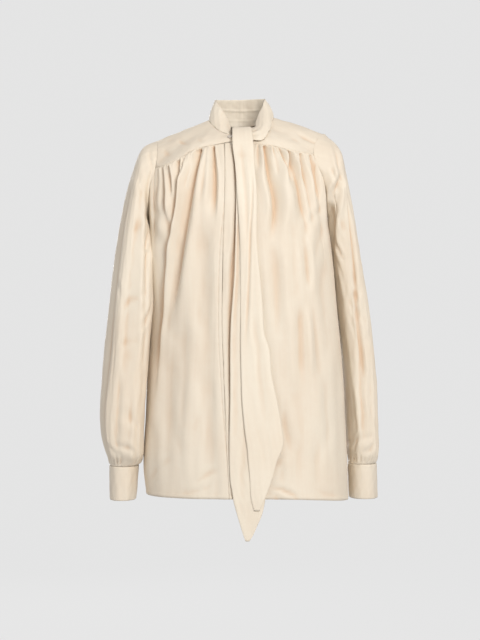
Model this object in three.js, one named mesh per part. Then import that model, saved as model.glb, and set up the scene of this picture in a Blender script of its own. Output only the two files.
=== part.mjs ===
// A hollow, worn blouse: gathered fronts under a yoke, and a band collar that runs on into a knotted scarf.
// Millimetres, +Z up, the front faces -Y. The origin is the middle of the neck, at the height of the
// shoulders' highest points. Right and left are the wearer's: the right side is at -X.
// Tables have a row for each section or fold. All places on them are on the cloth's outer side.
import * as THREE from "three";

// Driving dimensions.
const WALL = 1.6; // thickness of one wall of cloth
const SEAM = 0.4; // space between two pieces along a seam
const YOKE_GAP = 0.6; // the same below the yoke, whose lower edge has fewer points than the gathers
const SLEEVE_GAP = 0.5; // the same round the armhole
const STRIP_GAP = 2.4; // the same between the collar band and the strip, which turn against each other
const LAP = 2.4; // how far a lapped layer stands out from the layer under it
const HEM_Z = -714.5; // height of the hem at the front
const HEM_DROP = { left: 11, back: 6 }; // how much lower the hem hangs at the left side and at the back
const SQUARENESS = 2.7; // exponent of the body's rings: 2 is an ellipse
const SLEEVE_SQUARENESS = 2.25; // exponent of the sleeves' rings
const ARMHOLE = { height: 154, front: 58, back: 66 }; // each armhole's height and its half depths
const BACK_SEAM_DIP = 4; // how far the yoke's back seam dips in the middle
const GATHER_RISE = 16; // height over which gathers open below the yoke's seam
const FOLD_FADE = 1.5; // rings of a sleeve over which a fold rises and fades
const FIT_DROP = 0.3; // share of a panel's length over which its seam's own shape passes into the body's
const BAND_RISE = 0.7; // space between the neckline and the collar band's foot
const NECK_MIDDLE_Y = 8; // middle of the neck, front to back, that the band bulges away from
// How each tail hangs: from a height, how far it stands out from the body's ring, and its share of the folds.
const TAILS = {
  front: { top: -80, stand: 9.4, relief: 1, rows: 18 },
  rear: { top: -52.4, stand: 5.8, relief: 0.4, rows: 20 },
};
const TAIL_WALL = 1.8; // thickness of the scarf's doubled cloth
const CUFF_WALL = 2.0; // thickness of a cuff, which is doubled and stiffened
const CUFF = { top: -662.4, bottom: -726, lapStart: 232, lapTurn: 24, lapLift: 2.6 };
const NECK_BUTTON = { radius: 4.8, thickness: 2.2, gap: 0.6, place: 0.04, down: 0.42 };
const CUFF_BUTTON = { radius: 5.2, thickness: 2.4, gap: 0.4, turn: 12, downs: [0.26, 0.74] };
const CREAM = 0xefdcc4;
const PEARL = 0xd9d2c6;

// The body's rings: half widths at the right and left side, and depths to the front and back.
const BODY = [
  { z: -40, right: -163, left: 150, front: 70, back: 78 },
  { z: -60, right: -165, left: 152, front: 82, back: 88 },
  { z: -100, right: -168, left: 155, front: 102, back: 99 },
  { z: -150, right: -171, left: 162, front: 116, back: 106 },
  { z: -200, right: -171, left: 166, front: 123, back: 108 },
  { z: -260, right: -170, left: 175, front: 125, back: 107 },
  { z: -355, right: -168, left: 184, front: 125, back: 105 },
  { z: -436, right: -172, left: 192, front: 125, back: 106 },
  { z: -500, right: -177, left: 197, front: 126, back: 108 },
  { z: -570, right: -180, left: 200, front: 127, back: 110 },
  { z: -660, right: -184, left: 205, front: 129, back: 113 },
  { z: -727, right: -178, left: 207, front: 131, back: 115 },
];

// The armholes' distance to the side: turn 0 is the shoulder's tip, 90 the front, 180 the underarm.
const ARMHOLE_SIDE = [
  { turn: 0, right: -160, left: 164 },
  { turn: 50, right: -157, left: 141 },
  { turn: 75, right: -160, left: 143 },
  { turn: 98, right: -169, left: 157 },
  { turn: 140, right: -172, left: 164 },
  { turn: 180, right: -171, left: 166 },
  { turn: 225, right: -166, left: 163 },
  { turn: 265, right: -160, left: 156 },
  { turn: 290, right: -156, left: 151 },
  { turn: 330, right: -157, left: 156 },
  { turn: 360, right: -160, left: 164 },
];

// The neckline from the right front's end, round the back, to the left front's end.
const NECKLINE = [
  { place: 0.0, x: 2, y: -69, z: -39 },
  { place: 0.07, x: -19, y: -66, z: -37.5 },
  { place: 0.12, x: -36, y: -60, z: -31 },
  { place: 0.2, x: -50, y: -43, z: -19 },
  { place: 0.3, x: -59, y: -16, z: -5 },
  { place: 0.4, x: -53, y: 26, z: 1 },
  { place: 0.5, x: 1, y: 55, z: 1 },
  { place: 0.6, x: 57, y: 26, z: 3 },
  { place: 0.7, x: 64, y: -14, z: 0 },
  { place: 0.8, x: 53, y: -42, z: -19 },
  { place: 0.88, x: 38, y: -60, z: -31 },
  { place: 0.93, x: 21, y: -66, z: -38 },
  { place: 1.0, x: -10, y: -66.5, z: -39 },
];

// How far the yoke bulges out between the neckline and its lower edge.
const YOKE_BULGE = [
  { place: 0.0, out: 1 },
  { place: 0.1, out: 4 },
  { place: 0.2, out: 7 },
  { place: 0.3, out: 1 },
  { place: 0.4, out: 7 },
  { place: 0.5, out: 9 },
  { place: 0.6, out: 7 },
  { place: 0.7, out: 3 },
  { place: 0.8, out: 7 },
  { place: 0.9, out: 4 },
  { place: 1.0, out: 1 },
];

// The collar band's upper edge, above the places of the neckline, and how far the band bulges out.
const BAND_TOP = [
  { place: 0.07, x: -17, y: -38, z: -22, out: 1 },
  { place: 0.12, x: -26, y: -31, z: 0, out: 2 },
  { place: 0.2, x: -38, y: -18, z: 21, out: 2 },
  { place: 0.3, x: -46.5, y: 0, z: 35, out: 2 },
  { place: 0.4, x: -42, y: 27, z: 40, out: 2 },
  { place: 0.5, x: 1, y: 47, z: 43, out: 2 },
  { place: 0.6, x: 44, y: 27, z: 42, out: 2 },
  { place: 0.7, x: 47.5, y: 1, z: 37, out: 4 },
  { place: 0.74, x: 46, y: -6, z: 33, out: 4 },
];

// The strip that crosses from the band's left end, run 0, to the middle: its lower edge and its upper edge.
const STRIP = [
  { run: 1, lowX: 59.5, lowY: -48, lowZ: -21, topX: 42, topY: -15, topZ: 21, out: 5 },
  { run: 2, lowX: 52.6, lowY: -69, lowZ: -35, topX: 34, topY: -25, topZ: 4, out: 6 },
  { run: 3, lowX: 42, lowY: -82, lowZ: -49.5, topX: 29, topY: -37, topZ: -13, out: 8 },
  { run: 4, lowX: 24, lowY: -84.5, lowZ: -50, topX: 22.5, topY: -51, topZ: -26.5, out: 6 },
  { run: 5, lowX: -6, lowY: -86, lowZ: -50, topX: -8, topY: -58, topZ: -28, out: 5 },
];

// The line where each front is sewn to the yoke: its height, from the middle out to the armhole.
const YOKE_SEAM = {
  right: [
    { x: -158, z: -101 },
    { x: -149, z: -95.5 },
    { x: -119, z: -84 },
    { x: -111, z: -79 },
    { x: -82, z: -65.5 },
    { x: -50, z: -59 },
    { x: -19, z: -53.5 },
    { x: 5, z: -53 },
  ],
  left: [
    { x: -12, z: -55.5 },
    { x: 20, z: -56 },
    { x: 46, z: -57.5 },
    { x: 71, z: -62 },
    { x: 106, z: -69 },
    { x: 133, z: -71 },
    { x: 145, z: -73 },
  ],
};

// The line from yoke to hem where the right front meets its placket, and the free edges behind the scarf.
const PLACKET = [
  { z: -54, seam: -29, edge: 4, underSeam: 7, underEdge: -25 },
  { z: -135, seam: -28.5, edge: 4, underSeam: 7, underEdge: -25 },
  { z: -260, seam: -32, edge: 1, underSeam: 4, underEdge: -28 },
  { z: -395, seam: -33.5, edge: 0, underSeam: 3, underEdge: -29 },
  { z: -470, seam: -31, edge: 2, underSeam: 5, underEdge: -27 },
  { z: -550, seam: -28, edge: 5, underSeam: 8, underEdge: -24 },
  { z: -636, seam: -24, edge: 9, underSeam: 12, underEdge: -20 },
  { z: -715, seam: -20, edge: 13, underSeam: 16, underEdge: -16 },
];

// Folds of the fronts, seen from the front: a trough from the yoke seam through a middle to a foot, with a
// soft ridge on each side. Those that don't start at the seam name their own top.
const FRONT_FOLDS = {
  right: [
    { topX: -50, midX: -49, midZ: -120, footX: -47, footZ: -190, depth: 4.0, width: 7 },
    { topX: -80, midX: -90, midZ: -170, footX: -122, footZ: -350, depth: 7.5, width: 10 },
    { topX: -100, midX: -101, midZ: -110, footX: -104, footZ: -160, depth: 3.5, width: 6 },
    { topX: -117, midX: -122, midZ: -130, footX: -164, footZ: -500, depth: 5.5, width: 8 },
    { topX: -134, midX: -135, midZ: -125, footX: -139, footZ: -190, depth: 4.0, width: 6 },
    { topX: -149, midX: -149, midZ: -130, footX: -152, footZ: -190, depth: 3.0, width: 6 },
    { topX: -62, topZ: -215, midX: -63, midZ: -330, footX: -66, footZ: -470, depth: 4.0, width: 17 },
    { topX: -96, topZ: -330, midX: -104, midZ: -470, footX: -112, footZ: -700, depth: 5.0, width: 19 },
    { topX: -128, topZ: -430, midX: -136, midZ: -560, footX: -140, footZ: -714, depth: 5.0, width: 15 },
    { topX: -54, topZ: -480, midX: -58, midZ: -600, footX: -60, footZ: -714, depth: 3.5, width: 18 },
  ],
  left: [
    { topX: 48, midX: 62, midZ: -135, footX: 66, footZ: -330, depth: 5.5, width: 9 },
    { topX: 61, midX: 70, midZ: -100, footX: 78, footZ: -150, depth: 3.5, width: 6 },
    { topX: 76, midX: 86, midZ: -100, footX: 96, footZ: -150, depth: 4.0, width: 6 },
    { topX: 97, midX: 112, midZ: -140, footX: 129, footZ: -260, depth: 7.0, width: 9 },
    { topX: 117, midX: 130, midZ: -120, footX: 142, footZ: -200, depth: 5.0, width: 8 },
    { topX: 134, midX: 141, midZ: -110, footX: 149, footZ: -160, depth: 3.0, width: 6 },
    { topX: 112, topZ: -235, midX: 118, midZ: -330, footX: 122, footZ: -560, depth: 5.5, width: 18 },
    { topX: 150, topZ: -260, midX: 152, midZ: -420, footX: 158, footZ: -700, depth: 5.0, width: 16 },
    { topX: 96, topZ: -440, midX: 104, midZ: -560, footX: 112, footZ: -714, depth: 4.5, width: 20 },
  ],
};

// Folds of the back, in the same form, hung from its yoke seam.
const BACK_FOLDS = [
  { topX: -118, midX: -124, midZ: -190, footX: -136, footZ: -420, depth: 5.0, width: 12 },
  { topX: -84, midX: -88, midZ: -170, footX: -96, footZ: -300, depth: 4.0, width: 10 },
  { topX: -52, midX: -56, midZ: -240, footX: -60, footZ: -560, depth: 6.5, width: 12 },
  { topX: -27, midX: -29, midZ: -180, footX: -30, footZ: -330, depth: 4.5, width: 8 },
  { topX: -3, midX: -2, midZ: -220, footX: 4, footZ: -520, depth: 6.0, width: 10 },
  { topX: 24, midX: 27, midZ: -170, footX: 30, footZ: -290, depth: 4.5, width: 8 },
  { topX: 50, midX: 55, midZ: -260, footX: 64, footZ: -600, depth: 6.5, width: 12 },
  { topX: 86, midX: 92, midZ: -170, footX: 100, footZ: -310, depth: 4.5, width: 10 },
  { topX: 118, midX: 126, midZ: -200, footX: 146, footZ: -460, depth: 5.0, width: 12 },
  { topX: -110, topZ: -440, midX: -118, midZ: -580, footX: -120, footZ: -714, depth: 5.0, width: 20 },
  { topX: 30, topZ: -430, midX: 26, midZ: -570, footX: 20, footZ: -714, depth: 4.5, width: 20 },
  { topX: 112, topZ: -480, midX: 116, midZ: -600, footX: 124, footZ: -714, depth: 5.0, width: 18 },
];

// The sleeves' rings: each ring's outermost and innermost point, its half depth and the middle's place,
// and how far its front leans in towards the body. The armhole comes before the first row.
const SLEEVE = {
  right: [
    { ring: 1, outX: -186, outZ: -57.5, inX: -175, inZ: -203, depth: 63, mid: 0, lean: 0 },
    { ring: 2, outX: -202, outZ: -93, inX: -178, inZ: -213, depth: 63, mid: -5, lean: 5 },
    { ring: 3, outX: -213, outZ: -138, inX: -179, inZ: -232, depth: 62, mid: -12, lean: 12 },
    { ring: 4, outX: -224, outZ: -205, inX: -179, inZ: -265, depth: 60, mid: -20, lean: 21 },
    { ring: 5, outX: -235.5, outZ: -280, inX: -177, inZ: -312, depth: 58, mid: -28, lean: 27 },
    { ring: 6, outX: -244, outZ: -355, inX: -175, inZ: -363, depth: 57, mid: -33, lean: 29 },
    { ring: 7, outX: -252.5, outZ: -436, inX: -180, inZ: -438, depth: 57, mid: -35, lean: 29 },
    { ring: 8, outX: -259.5, outZ: -505, inX: -186, inZ: -505, depth: 58, mid: -35, lean: 28 },
    { ring: 9, outX: -264, outZ: -560, inX: -189, inZ: -560, depth: 59, mid: -34, lean: 24 },
    { ring: 10, outX: -260, outZ: -606, inX: -190, inZ: -607, depth: 59, mid: -31, lean: 18 },
    { ring: 11, outX: -253.5, outZ: -637, inX: -191, inZ: -638, depth: 56, mid: -27, lean: 11 },
    { ring: 12, outX: -250, outZ: -653, inX: -191, inZ: -653, depth: 50, mid: -22, lean: 4 },
    { ring: 13, outX: -248, outZ: -661.8, inX: -194, inZ: -661.8, depth: 45, mid: -20, lean: 0 },
  ],
  left: [
    { ring: 1, outX: 187, outZ: -52.5, inX: 171, inZ: -191, depth: 64, mid: 3, lean: 0 },
    { ring: 2, outX: 200, outZ: -92, inX: 175, inZ: -204, depth: 65, mid: 8, lean: -2 },
    { ring: 3, outX: 208, outZ: -143, inX: 180, inZ: -230, depth: 65, mid: 14, lean: -8 },
    { ring: 4, outX: 217, outZ: -207, inX: 185, inZ: -265, depth: 65, mid: 21, lean: -15 },
    { ring: 5, outX: 230.5, outZ: -288, inX: 191, inZ: -315, depth: 66, mid: 28, lean: -19 },
    { ring: 6, outX: 242, outZ: -357, inX: 196, inZ: -368, depth: 67, mid: 32, lean: -20 },
    { ring: 7, outX: 252, outZ: -440, inX: 203, inZ: -442, depth: 68, mid: 35, lean: -20 },
    { ring: 8, outX: 256.5, outZ: -505, inX: 207, inZ: -506, depth: 68, mid: 36, lean: -19 },
    { ring: 9, outX: 259.5, outZ: -562, inX: 210, inZ: -562, depth: 68, mid: 36, lean: -16 },
    { ring: 10, outX: 261.5, outZ: -606, inX: 211, inZ: -607, depth: 65, mid: 35, lean: -13 },
    { ring: 11, outX: 263, outZ: -637, inX: 211, inZ: -638, depth: 59, mid: 33, lean: -8 },
    { ring: 12, outX: 264, outZ: -653, inX: 211, inZ: -653, depth: 51, mid: 30, lean: -3 },
    { ring: 13, outX: 263.5, outZ: -661.8, inX: 209, inZ: -661.8, depth: 46, mid: 29, lean: 0 },
  ],
};

// Lengthwise folds of the sleeves: where round the sleeve they start and end, and between which rings.
const SLEEVE_FOLDS = {
  right: [
    { turn: 52, footTurn: 60, from: 1, to: 12.5, depth: -5.0, width: 13 },
    { turn: 82, footTurn: 96, from: 1, to: 9, depth: 4.5, width: 13 },
    { turn: 118, footTurn: 128, from: 3, to: 12, depth: 4.0, width: 14 },
    { turn: 20, footTurn: 26, from: 2, to: 12.5, depth: 4.0, width: 12 },
    { turn: 330, footTurn: 322, from: 2, to: 12, depth: 4.5, width: 15 },
    { turn: 285, footTurn: 290, from: 1, to: 8, depth: 4.0, width: 14 },
    { turn: 250, footTurn: 240, from: 4, to: 12.5, depth: 4.5, width: 15 },
  ],
  left: [
    { turn: 62, footTurn: 84, from: 0.5, to: 9.5, depth: 4.5, width: 10 },
    { turn: 100, footTurn: 110, from: 2, to: 12, depth: 4.0, width: 14 },
    { turn: 36, footTurn: 44, from: 1.5, to: 12.5, depth: 4.5, width: 12 },
    { turn: 5, footTurn: 8, from: 3, to: 12, depth: 3.5, width: 12 },
    { turn: 320, footTurn: 316, from: 1, to: 12, depth: 2.0, width: 15 },
    { turn: 270, footTurn: 276, from: 2, to: 10, depth: 2.0, width: 15 },
    { turn: 236, footTurn: 228, from: 5, to: 12.5, depth: 4.0, width: 14 },
  ],
};

// The cuffs: their widest points at the top and bottom, half depth and middle.
const CUFFS = {
  right: { topOut: -248, topIn: -194, bottomOut: -246.5, bottomIn: -199, depth: 45, mid: -20 },
  left: { topOut: 263.5, topIn: 209, bottomOut: 264.5, bottomIn: 211, depth: 46, mid: 29 },
};

// The scarf's tails below the neck: their side edges.
const FRONT_TAIL = [
  { z: -23, left: -14.6, right: 21 },
  { z: -60, left: -14, right: 25 },
  { z: -101, left: -9, right: 27 },
  { z: -154, left: -5.5, right: 31 },
  { z: -240, left: 0, right: 31 },
  { z: -353, left: 1, right: 41 },
  { z: -410, left: 1, right: 45 },
  { z: -441, left: 1, right: 54 },
  { z: -487, left: 2, right: 58.6 },
  { z: -540, left: 4, right: 69.5 },
  { z: -593, left: 9, right: 78.5 },
  { z: -618, left: 12.8, right: 79.4 },
  { z: -646, left: 15, right: 67.7 },
  { z: -679, left: 18, right: 58.6 },
  { z: -712, left: 20, right: 46 },
  { z: -735.5, left: 26, right: 36 },
];
const REAR_TAIL = [
  { z: -52.4, left: -6, right: 24 },
  { z: -101, left: -7, right: 25 },
  { z: -176, left: -7.3, right: 27 },
  { z: -296, left: -10, right: 34 },
  { z: -342, left: -13.2, right: 38 },
  { z: -388, left: -16.8, right: 42 },
  { z: -441, left: -18.3, right: 49 },
  { z: -532, left: -18.3, right: 60 },
  { z: -620, left: -20, right: 66 },
  { z: -679, left: -18.3, right: 54 },
  { z: -701, left: -14.6, right: 47.5 },
  { z: -719, left: -12, right: 46 },
  { z: -743, left: -5.5, right: 40.5 },
  { z: -765, left: 1, right: 31 },
  { z: -781, left: 6, right: 24 },
  { z: -792, left: 10, right: 17 },
];

// The way of the front tail from behind the strip, over its upper edge and down, and its shift to the left.
const TAIL_TURN = [
  { y: -42, z: -42, shift: -4 },
  { y: -46, z: -30, shift: -2 },
  { y: -53, z: -22.6, shift: 0 },
  { y: -67, z: -24.5, shift: 0 },
  { y: -82, z: -35, shift: 0 },
  { y: -92, z: -49, shift: 0 },
  { y: -97, z: -63, shift: 0 },
];

// Lengthwise folds of the tails: their place across from 0 at the left edge of the view to 1.
const TAIL_FOLDS = [
  { across: 0.3, depth: 1.6, width: 0.12 },
  { across: 0.62, depth: 2.2, width: 0.14 },
];

// A button's outline, as shares of its radius and thickness.
const BUTTON_PROFILE = [
  { r: 0, h: 0 },
  { r: 0.8, h: 0 },
  { r: 1, h: 0.35 },
  { r: 1, h: 0.75 },
  { r: 0.86, h: 1 },
  { r: 0.66, h: 0.9 },
  { r: 0.5, h: 0.72 },
  { r: 0, h: 0.66 },
];

// The two sides of the blouse: the armhole's top, where on it the yoke's seams end, and the front's edge.
const SIDES = {
  right: { column: "right", outward: -1, top: -43, seamTurn: 74, backTurn: 290, start: 2 },
  left: { column: "left", outward: 1, top: -30, seamTurn: 64, backTurn: 290, start: -10 },
};
const { right, left } = SIDES;

// How finely the pieces are divided.
const FRONT_COLUMNS = 26;
const BACK_COLUMNS = 26;
const ARMHOLE_COLUMNS = { top: 10, front: 8, back: 8 };
const CUFF_COLUMNS = 30;
const BUTTON_SEGMENTS = 14;
const TAIL_COLUMNS = 7;
const YOKE_COLUMNS = [13, ARMHOLE_COLUMNS.top, 13, ARMHOLE_COLUMNS.top, 13];
const YOKE_ROWS = 6;
const MAKE_ROOM = 5; // columns of a front that shift to make room along its placket
const ROOM_STEP = 5.2; // their spacing at the placket
const SIDE_TURN = 0.0002; // angle of a panel's last column from the ring's side, in radians
const BAND_STEPS = { columns: 34, rows: 4 };
const STRIP_STEPS = { columns: 16, rows: 5 };
const PLACKET_STEPS = { columns: 3, rows: 16 };
const DROPS = [0, 0.013, 0.032, 0.06, 0.095, 0.14, 0.2, 0.28, 0.38, 0.49, 0.61, 0.74, 0.87, 1];
const SLEEVE_STEPS = [0, 0.45, 1, 1.6, 2.3, 3.1, 4, 5, 6, 7.2, 8.3, 9.3, 10.3, 11.2, 12, 12.6, 13];

// Small helpers.
const { clamp, lerp: mix, degToRad: radians } = THREE.MathUtils;
const vector = (x, y, z) => new THREE.Vector3(x, y, z);
const steps = (count) => Array.from({ length: count + 1 }, (unused, i) => i / count);
const signedPower = (value, power) => Math.sign(value) * Math.abs(value) ** power;
function smooth(from, to, at) {
  const t = clamp((at - from) / (to - from), 0, 1);
  return t * t * (3 - 2 * t);
}

// The value of a table's column at a place along its first named column, on a smooth curve through the rows.
function read(rows, along, at, column) {
  const rising = rows[1][along] > rows[0][along] ? 1 : -1;
  const last = rows.length - 1;
  let i = 0;
  while (i < last - 1 && (at - rows[i + 1][along]) * rising > 0) i++;
  const slope = (k) => {
    const low = rows[Math.max(k - 1, 0)];
    const high = rows[Math.min(k + 1, last)];
    return (high[column] - low[column]) / (high[along] - low[along]);
  };
  const [here, next] = [rows[i], rows[i + 1]];
  const span = next[along] - here[along];
  const t = clamp((at - here[along]) / span, 0, 1);
  const [t2, t3] = [t * t, t * t * t];
  return (
    here[column] * (2 * t3 - 3 * t2 + 1) +
    next[column] * (3 * t2 - 2 * t3) +
    span * slope(i) * (t3 - 2 * t2 + t) +
    span * slope(i + 1) * (t3 - t2)
  );
}

// The height of the hem at an angle of the body's ring.
function hemZ(angle) {
  const [leftward, backward] = [Math.max(Math.cos(angle), 0), Math.max(Math.sin(angle), 0)];
  return HEM_Z - HEM_DROP.left * leftward ** 2 - HEM_DROP.back * backward ** 2;
}

// The body's ring at a height, as a point for an angle: -90 degrees is the front's middle, 90 the back's.
function ring(z) {
  const [right, left] = [read(BODY, "z", z, "right"), read(BODY, "z", z, "left")];
  const [front, back] = [read(BODY, "z", z, "front"), read(BODY, "z", z, "back")];
  return { middle: (left + right) / 2, half: (left - right) / 2, front, back };
}
function bodyPoint(angle, z) {
  const { middle, half, front, back } = ring(z);
  const side = signedPower(Math.cos(angle), 2 / SQUARENESS);
  const depth = signedPower(Math.sin(angle), 2 / SQUARENESS);
  return vector(middle + half * side, depth * (depth < 0 ? front : back), z);
}
function bodyAngle(point) {
  const { middle, half, front, back } = ring(point.z);
  const side = signedPower((point.x - middle) / half, SQUARENESS / 2);
  const depth = signedPower(point.y / (point.y < 0 ? front : back), SQUARENESS / 2);
  return Math.atan2(depth, side);
}
function bodyDepth(x, z, isBack) {
  const { middle, half, front, back } = ring(z);
  const share = Math.min(Math.abs((x - middle) / half), 1);
  const depth = (1 - share ** SQUARENESS) ** (1 / SQUARENESS);
  return isBack ? back * depth : -front * depth;
}

// The way the cloth faces at the yoke's front and back seams, between the panel below and the yoke above.
function seamFacing(point) {
  const { middle, half, front, back } = ring(point.z);
  const depth = point.y < 0 ? front : back;
  const across = signedPower((point.x - middle) / half, SQUARENESS - 1) / half;
  const out = signedPower(point.y / depth, SQUARENESS - 1) / depth;
  return vector(across, out, 0).normalize().setZ(0.5).normalize();
}

// A point of an armhole's loop, and the way the cloth faces there: 0 is the shoulder's tip, 90 the front.
function armholePoint(side, turn) {
  const [c, s] = [Math.cos(radians(turn)), Math.sin(radians(turn))];
  const x = read(ARMHOLE_SIDE, "turn", (turn + 360) % 360, side.column);
  return vector(x, -s * (s > 0 ? ARMHOLE.front : ARMHOLE.back), side.top - (ARMHOLE.height / 2) * (1 - c));
}
function armholeFacing(side, turn) {
  return vector(side.outward * 0.5, -Math.sin(radians(turn)), Math.cos(radians(turn))).normalize();
}

// The places round an armhole where the pieces' points lie: along the yoke, down the front and up the back.
function armholeTurns(side) {
  return {
    top: steps(ARMHOLE_COLUMNS.top).map((t) => mix(side.seamTurn, side.backTurn - 360, t)),
    front: steps(ARMHOLE_COLUMNS.front).map((t) => mix(side.seamTurn, 180, t)),
    back: steps(ARMHOLE_COLUMNS.back).map((t) => mix(180, side.backTurn, t)),
  };
}
// A point of the sleeve's upper edge, set away from the armhole by the seam's gap.
function sleeveHead(side, turn) {
  const along = armholePoint(side, turn + 2).sub(armholePoint(side, turn - 2));
  const away = along.cross(armholeFacing(side, turn)).normalize();
  return armholePoint(side, turn).addScaledVector(away, Math.sign(away.x) * side.outward * SLEEVE_GAP);
}

// A point of the seam between a front and the yoke: t runs from the front's edge to the armhole.
function frontSeam(side, t) {
  const end = armholePoint(side, side.seamTurn);
  const x = mix(side.start, end.x, t);
  const z = mix(read(YOKE_SEAM[side.column], "x", x, "z"), end.z, t ** 6);
  const miss = end.y - bodyDepth(end.x, end.z, false);
  return vector(x, bodyDepth(x, z, false) + miss * t ** 3, z);
}
// A point of the seam between the back and the yoke: t runs from the right armhole to the left one.
function backSeam(t) {
  const from = armholePoint(SIDES.right, SIDES.right.backTurn);
  const to = armholePoint(SIDES.left, SIDES.left.backTurn);
  const x = mix(from.x, to.x, t);
  const z = mix(from.z, to.z, t) - BACK_SEAM_DIP * Math.sin(Math.PI * t);
  const missFrom = from.y - bodyDepth(from.x, from.z, true);
  const missTo = to.y - bodyDepth(to.x, to.z, true);
  return vector(x, bodyDepth(x, z, true) + missFrom * (1 - t) ** 3 + missTo * t ** 3, z);
}

// A trough with a soft ridge on each side, at a distance from its line measured in its own widths.
function trough(off) {
  return 0.4 * (Math.exp(-((off - 1.7) ** 2)) + Math.exp(-((off + 1.7) ** 2))) - Math.exp(-off * off);
}

// The height of a set of folds at a place on the front or back, hung from a seam at a height.
function foldHeight(folds, x, z, seamZ) {
  let height = 0;
  for (const fold of folds) {
    const top = fold.topZ ?? seamZ;
    const t = (top - z) / (top - fold.footZ);
    if (t <= 0 || t >= 1.12) continue;
    const tMid = (top - fold.midZ) / (top - fold.footZ);
    const bow = (fold.midX - mix(fold.topX, fold.footX, tMid)) / (tMid * (1 - tMid));
    const line = mix(fold.topX, fold.footX, t) + bow * t * (1 - t);
    const rise = fold.topZ ? smooth(0, 0.35, t) : smooth(0, 1, (top - z) / GATHER_RISE);
    const fade = 1 - smooth(0.55, 1.12, t);
    height += fold.depth * rise * fade * trough((x - line) / (fold.width * (1 + 0.9 * t)));
  }
  return height;
}

// A closed wall of cloth from a grid of outer points: grid[i][j] runs to the right along i, seen from
// outside, or leftward where that is said, and down along j. A loop joins the last row to the first. Where
// two pieces meet at an angle, topFacing and footFacing give the way the cloth faces there: both mitre.
function wall(grid, thickness, { loop = false, leftward = false, topFacing = [], footFacing = [] } = {}) {
  const [rows, columns] = [grid.length, grid[0].length];
  const at = (i, j) => {
    const row = loop ? (i + rows) % rows : clamp(i, 0, rows - 1);
    return grid[row][clamp(j, 0, columns - 1)];
  };
  const facing = (i, j) => {
    const given = j === 0 ? topFacing[i] : j === columns - 1 ? footFacing[i] : undefined;
    if (given) return given.clone();
    const along = at(i + 1, j).clone().sub(at(i - 1, j));
    const down = at(i, j + 1).clone().sub(at(i, j - 1));
    return along.cross(down).normalize().multiplyScalar(leftward ? 1 : -1);
  };
  const outer = [];
  const inner = [];
  for (let i = 0; i < rows; i++) {
    for (let j = 0; j < columns; j++) {
      outer.push(...at(i, j).toArray());
      inner.push(...at(i, j).clone().addScaledVector(facing(i, j), -thickness).toArray());
    }
  }
  const index = [];
  const quad = (a, b, c, d) => {
    if (leftward) index.push(a, c, b, a, d, c);
    else index.push(a, b, c, a, c, d);
  };
  const out = (i, j) => (i % rows) * columns + j;
  const into = (i, j) => out(i, j) + rows * columns;
  const last = loop ? rows : rows - 1;
  const foot = columns - 1;
  for (let i = 0; i < last; i++) {
    for (let j = 0; j < foot; j++) {
      quad(out(i, j), out(i, j + 1), out(i + 1, j + 1), out(i + 1, j));
      quad(into(i, j), into(i + 1, j), into(i + 1, j + 1), into(i, j + 1));
    }
    quad(out(i, 0), out(i + 1, 0), into(i + 1, 0), into(i, 0));
    quad(out(i, foot), into(i, foot), into(i + 1, foot), out(i + 1, foot));
  }
  for (let j = 0; j < foot && !loop; j++) {
    quad(out(0, j), into(0, j), into(0, j + 1), out(0, j + 1));
    quad(out(last, j), out(last, j + 1), into(last, j + 1), into(last, j));
  }
  const geometry = new THREE.BufferGeometry();
  geometry.setAttribute("position", new THREE.Float32BufferAttribute([...outer, ...inner], 3));
  geometry.setIndex(index);
  geometry.computeVertexNormals();
  return geometry;
}

// A panel that hangs from a line of top points to the hem. Each column keeps its share of the body's girth,
// and the difference between its top point and the body's ring fades away below the seam.
function hangingPanel(tops, fromAngle, toAngle, relief) {
  const unwrap = (angle) => (angle < fromAngle - Math.PI ? angle + 2 * Math.PI : angle);
  const turns = tops.map((top) => unwrap(bodyAngle(top)));
  const [first, final] = [turns[0], turns[turns.length - 1]];
  return tops.map((top, i) => {
    const end = mix(fromAngle, toAngle, (turns[i] - first) / (final - first));
    const miss = top.clone().sub(bodyPoint(turns[i], top.z));
    return DROPS.map((drop) => {
      const z = mix(top.z - YOKE_GAP, hemZ(end), drop);
      const angle = mix(turns[i], end, (smooth(0, 0.87, drop) + drop) / 2);
      const point = bodyPoint(angle, z).addScaledVector(miss, 1 - smooth(0, FIT_DROP, drop)).setZ(z);
      const away = vector(point.x - ring(z).middle, point.y * 1.6, 0).normalize();
      return point.addScaledVector(away, relief(point, top));
    });
  });
}
// Folds die away at the side seams, which lie at the ring's sides.
const sideFade = (point) => smooth(0, 0.22, Math.abs(Math.sin(bodyAngle(point))));

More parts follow.
